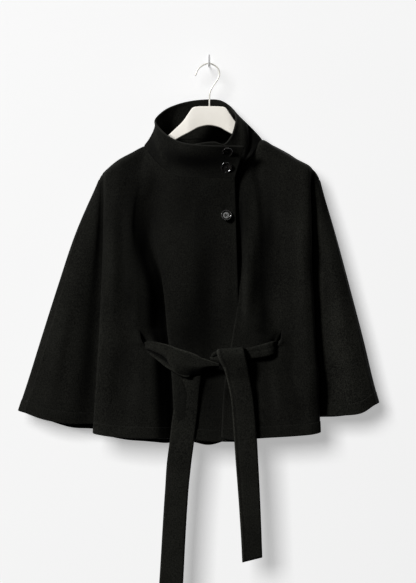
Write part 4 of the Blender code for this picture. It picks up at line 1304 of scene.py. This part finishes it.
def buildStage():
    square = ((-1, -1), (1, -1), (1, 1), (-1, 1))
    paint = seeThroughFromBehind(makePaint("wallPaint", 0.90, 0.93, 1.5, stage["wallGlow"]))
    wall = stageSheet("stage_wall", [(a * stage["wallReach"], stage["wallY"], b * stage["wallReach"])
                                     for a, b in square], paint)
    wall.visible_shadow = False
    paint = makePaint("floorPaint", 0.78, 0.82, 2.0, stage["floorGlow"])
    floor = stageSheet("stage_floor", [(a * stage["floorReach"], b * stage["floorReach"], stage["floorZ"])
                                       for a, b in square], paint)
    floor.visible_diffuse = floor.visible_glossy = False
    route = splinePath([(0, *spot) for spot in stage["peg"]], 6)
    peg = bmesh.new()
    sideways = np.array((1.0, 0, 0))
    skinRings(peg, roundTube(route, sideways, stage["pegWidth"], stage["pegHeight"], 14))
    bmesh.ops.recalc_face_normals(peg, faces=peg.faces)
    data = bakedMesh("stage_peg", peg)
    data.shade_smooth()
    stagePiece("stage_peg", data, makePaint("pegPaint", 0.82, 0.88, 40.0))


print("stage, lights and camera")
buildStage()


lamps = {      # where it is, where it aims, its size, its watts and what it lights
    "key": ((-6.2, -4.48, 3.8), (0, 0, -0.5), 1.6, 750, "jacket"),
    "window": ((0.5, -3.1, 1.1), (0.08, -0.05, -0.25), 1.0, 9, "button"),
    "fill": ((-1.0, -4.2, 0.6), (0, 0, -0.5), 2.0, 3, "jacket"),
    "wall": ((-3.9, -10.8, 3.4), (0, 0, -0.5), 4.8, 930, "stage"),      # keeps it as pale as in a bright room
    "shelf": ((-1.3, -3.6, 0.8), (0, 0, -0.2), 1.6, 76, "hanger"),
    "behind": ((1.2, 3.2, 1.4), (0, 0, -0.5), 2.2, 90, "jacket"),
}
worldLight = 0.85             # seen round the stage, without lighting the dark cloth
lightItems = {
    "stage": [item for item in bpy.data.objects if item.name.startswith("stage_")],
    "button": [item for item in bpy.data.objects if item.name.endswith("_polished")],
    "hanger": [bpy.data.objects[name] for name in ("hanger_moulded", "hook_wire")],
}


def linkLamp(lamp, wanted):
    # a lamp for the jacket lights all but the stage
    group = bpy.data.collections.new(lamp.name + " lights")
    for item in lightItems.get(wanted, lightItems["stage"]):
        group.objects.link(item)
    for entry in group.collection_objects:
        entry.light_linking.link_state = "EXCLUDE" if wanted == "jacket" else "INCLUDE"
    lamp.light_linking.receiver_collection = group


for name, (spot, aim, size, watts, wanted) in lamps.items():
    light = bpy.data.lights.new(name, "AREA")
    light.size = size
    light.energy = watts
    lamp = addObject(name, light)
    lamp.location = spot
    lamp.rotation_euler = (Vector(aim) - Vector(spot)).to_track_quat("-Z", "Y").to_euler()
    linkLamp(lamp, wanted)

world = bpy.data.worlds.new("studio")
bpy.context.scene.world = world
world.use_nodes = True
background = world.node_tree.nodes["Background"]
fillInputs(world.node_tree, background, {"Color": (1, 1, 1, 1), "Strength": worldLight})
world.cycles_visibility.diffuse = world.cycles_visibility.glossy = False

view = {"distance": 5.0, "x": -0.0022, "z": -0.489, "height": 1.2535}      # in metres
lens = bpy.data.cameras.new("view")
lens.sensor_fit = "VERTICAL"
lens.sensor_height = 36
lens.lens = lens.sensor_height * view["distance"] / view["height"]
camera = addObject("view", lens)
camera.location = (view["x"], -view["distance"], view["z"])
camera.rotation_euler = (math.radians(90), 0, 0)
bpy.context.scene.camera = camera
bpy.context.scene.view_settings.view_transform = "Standard"
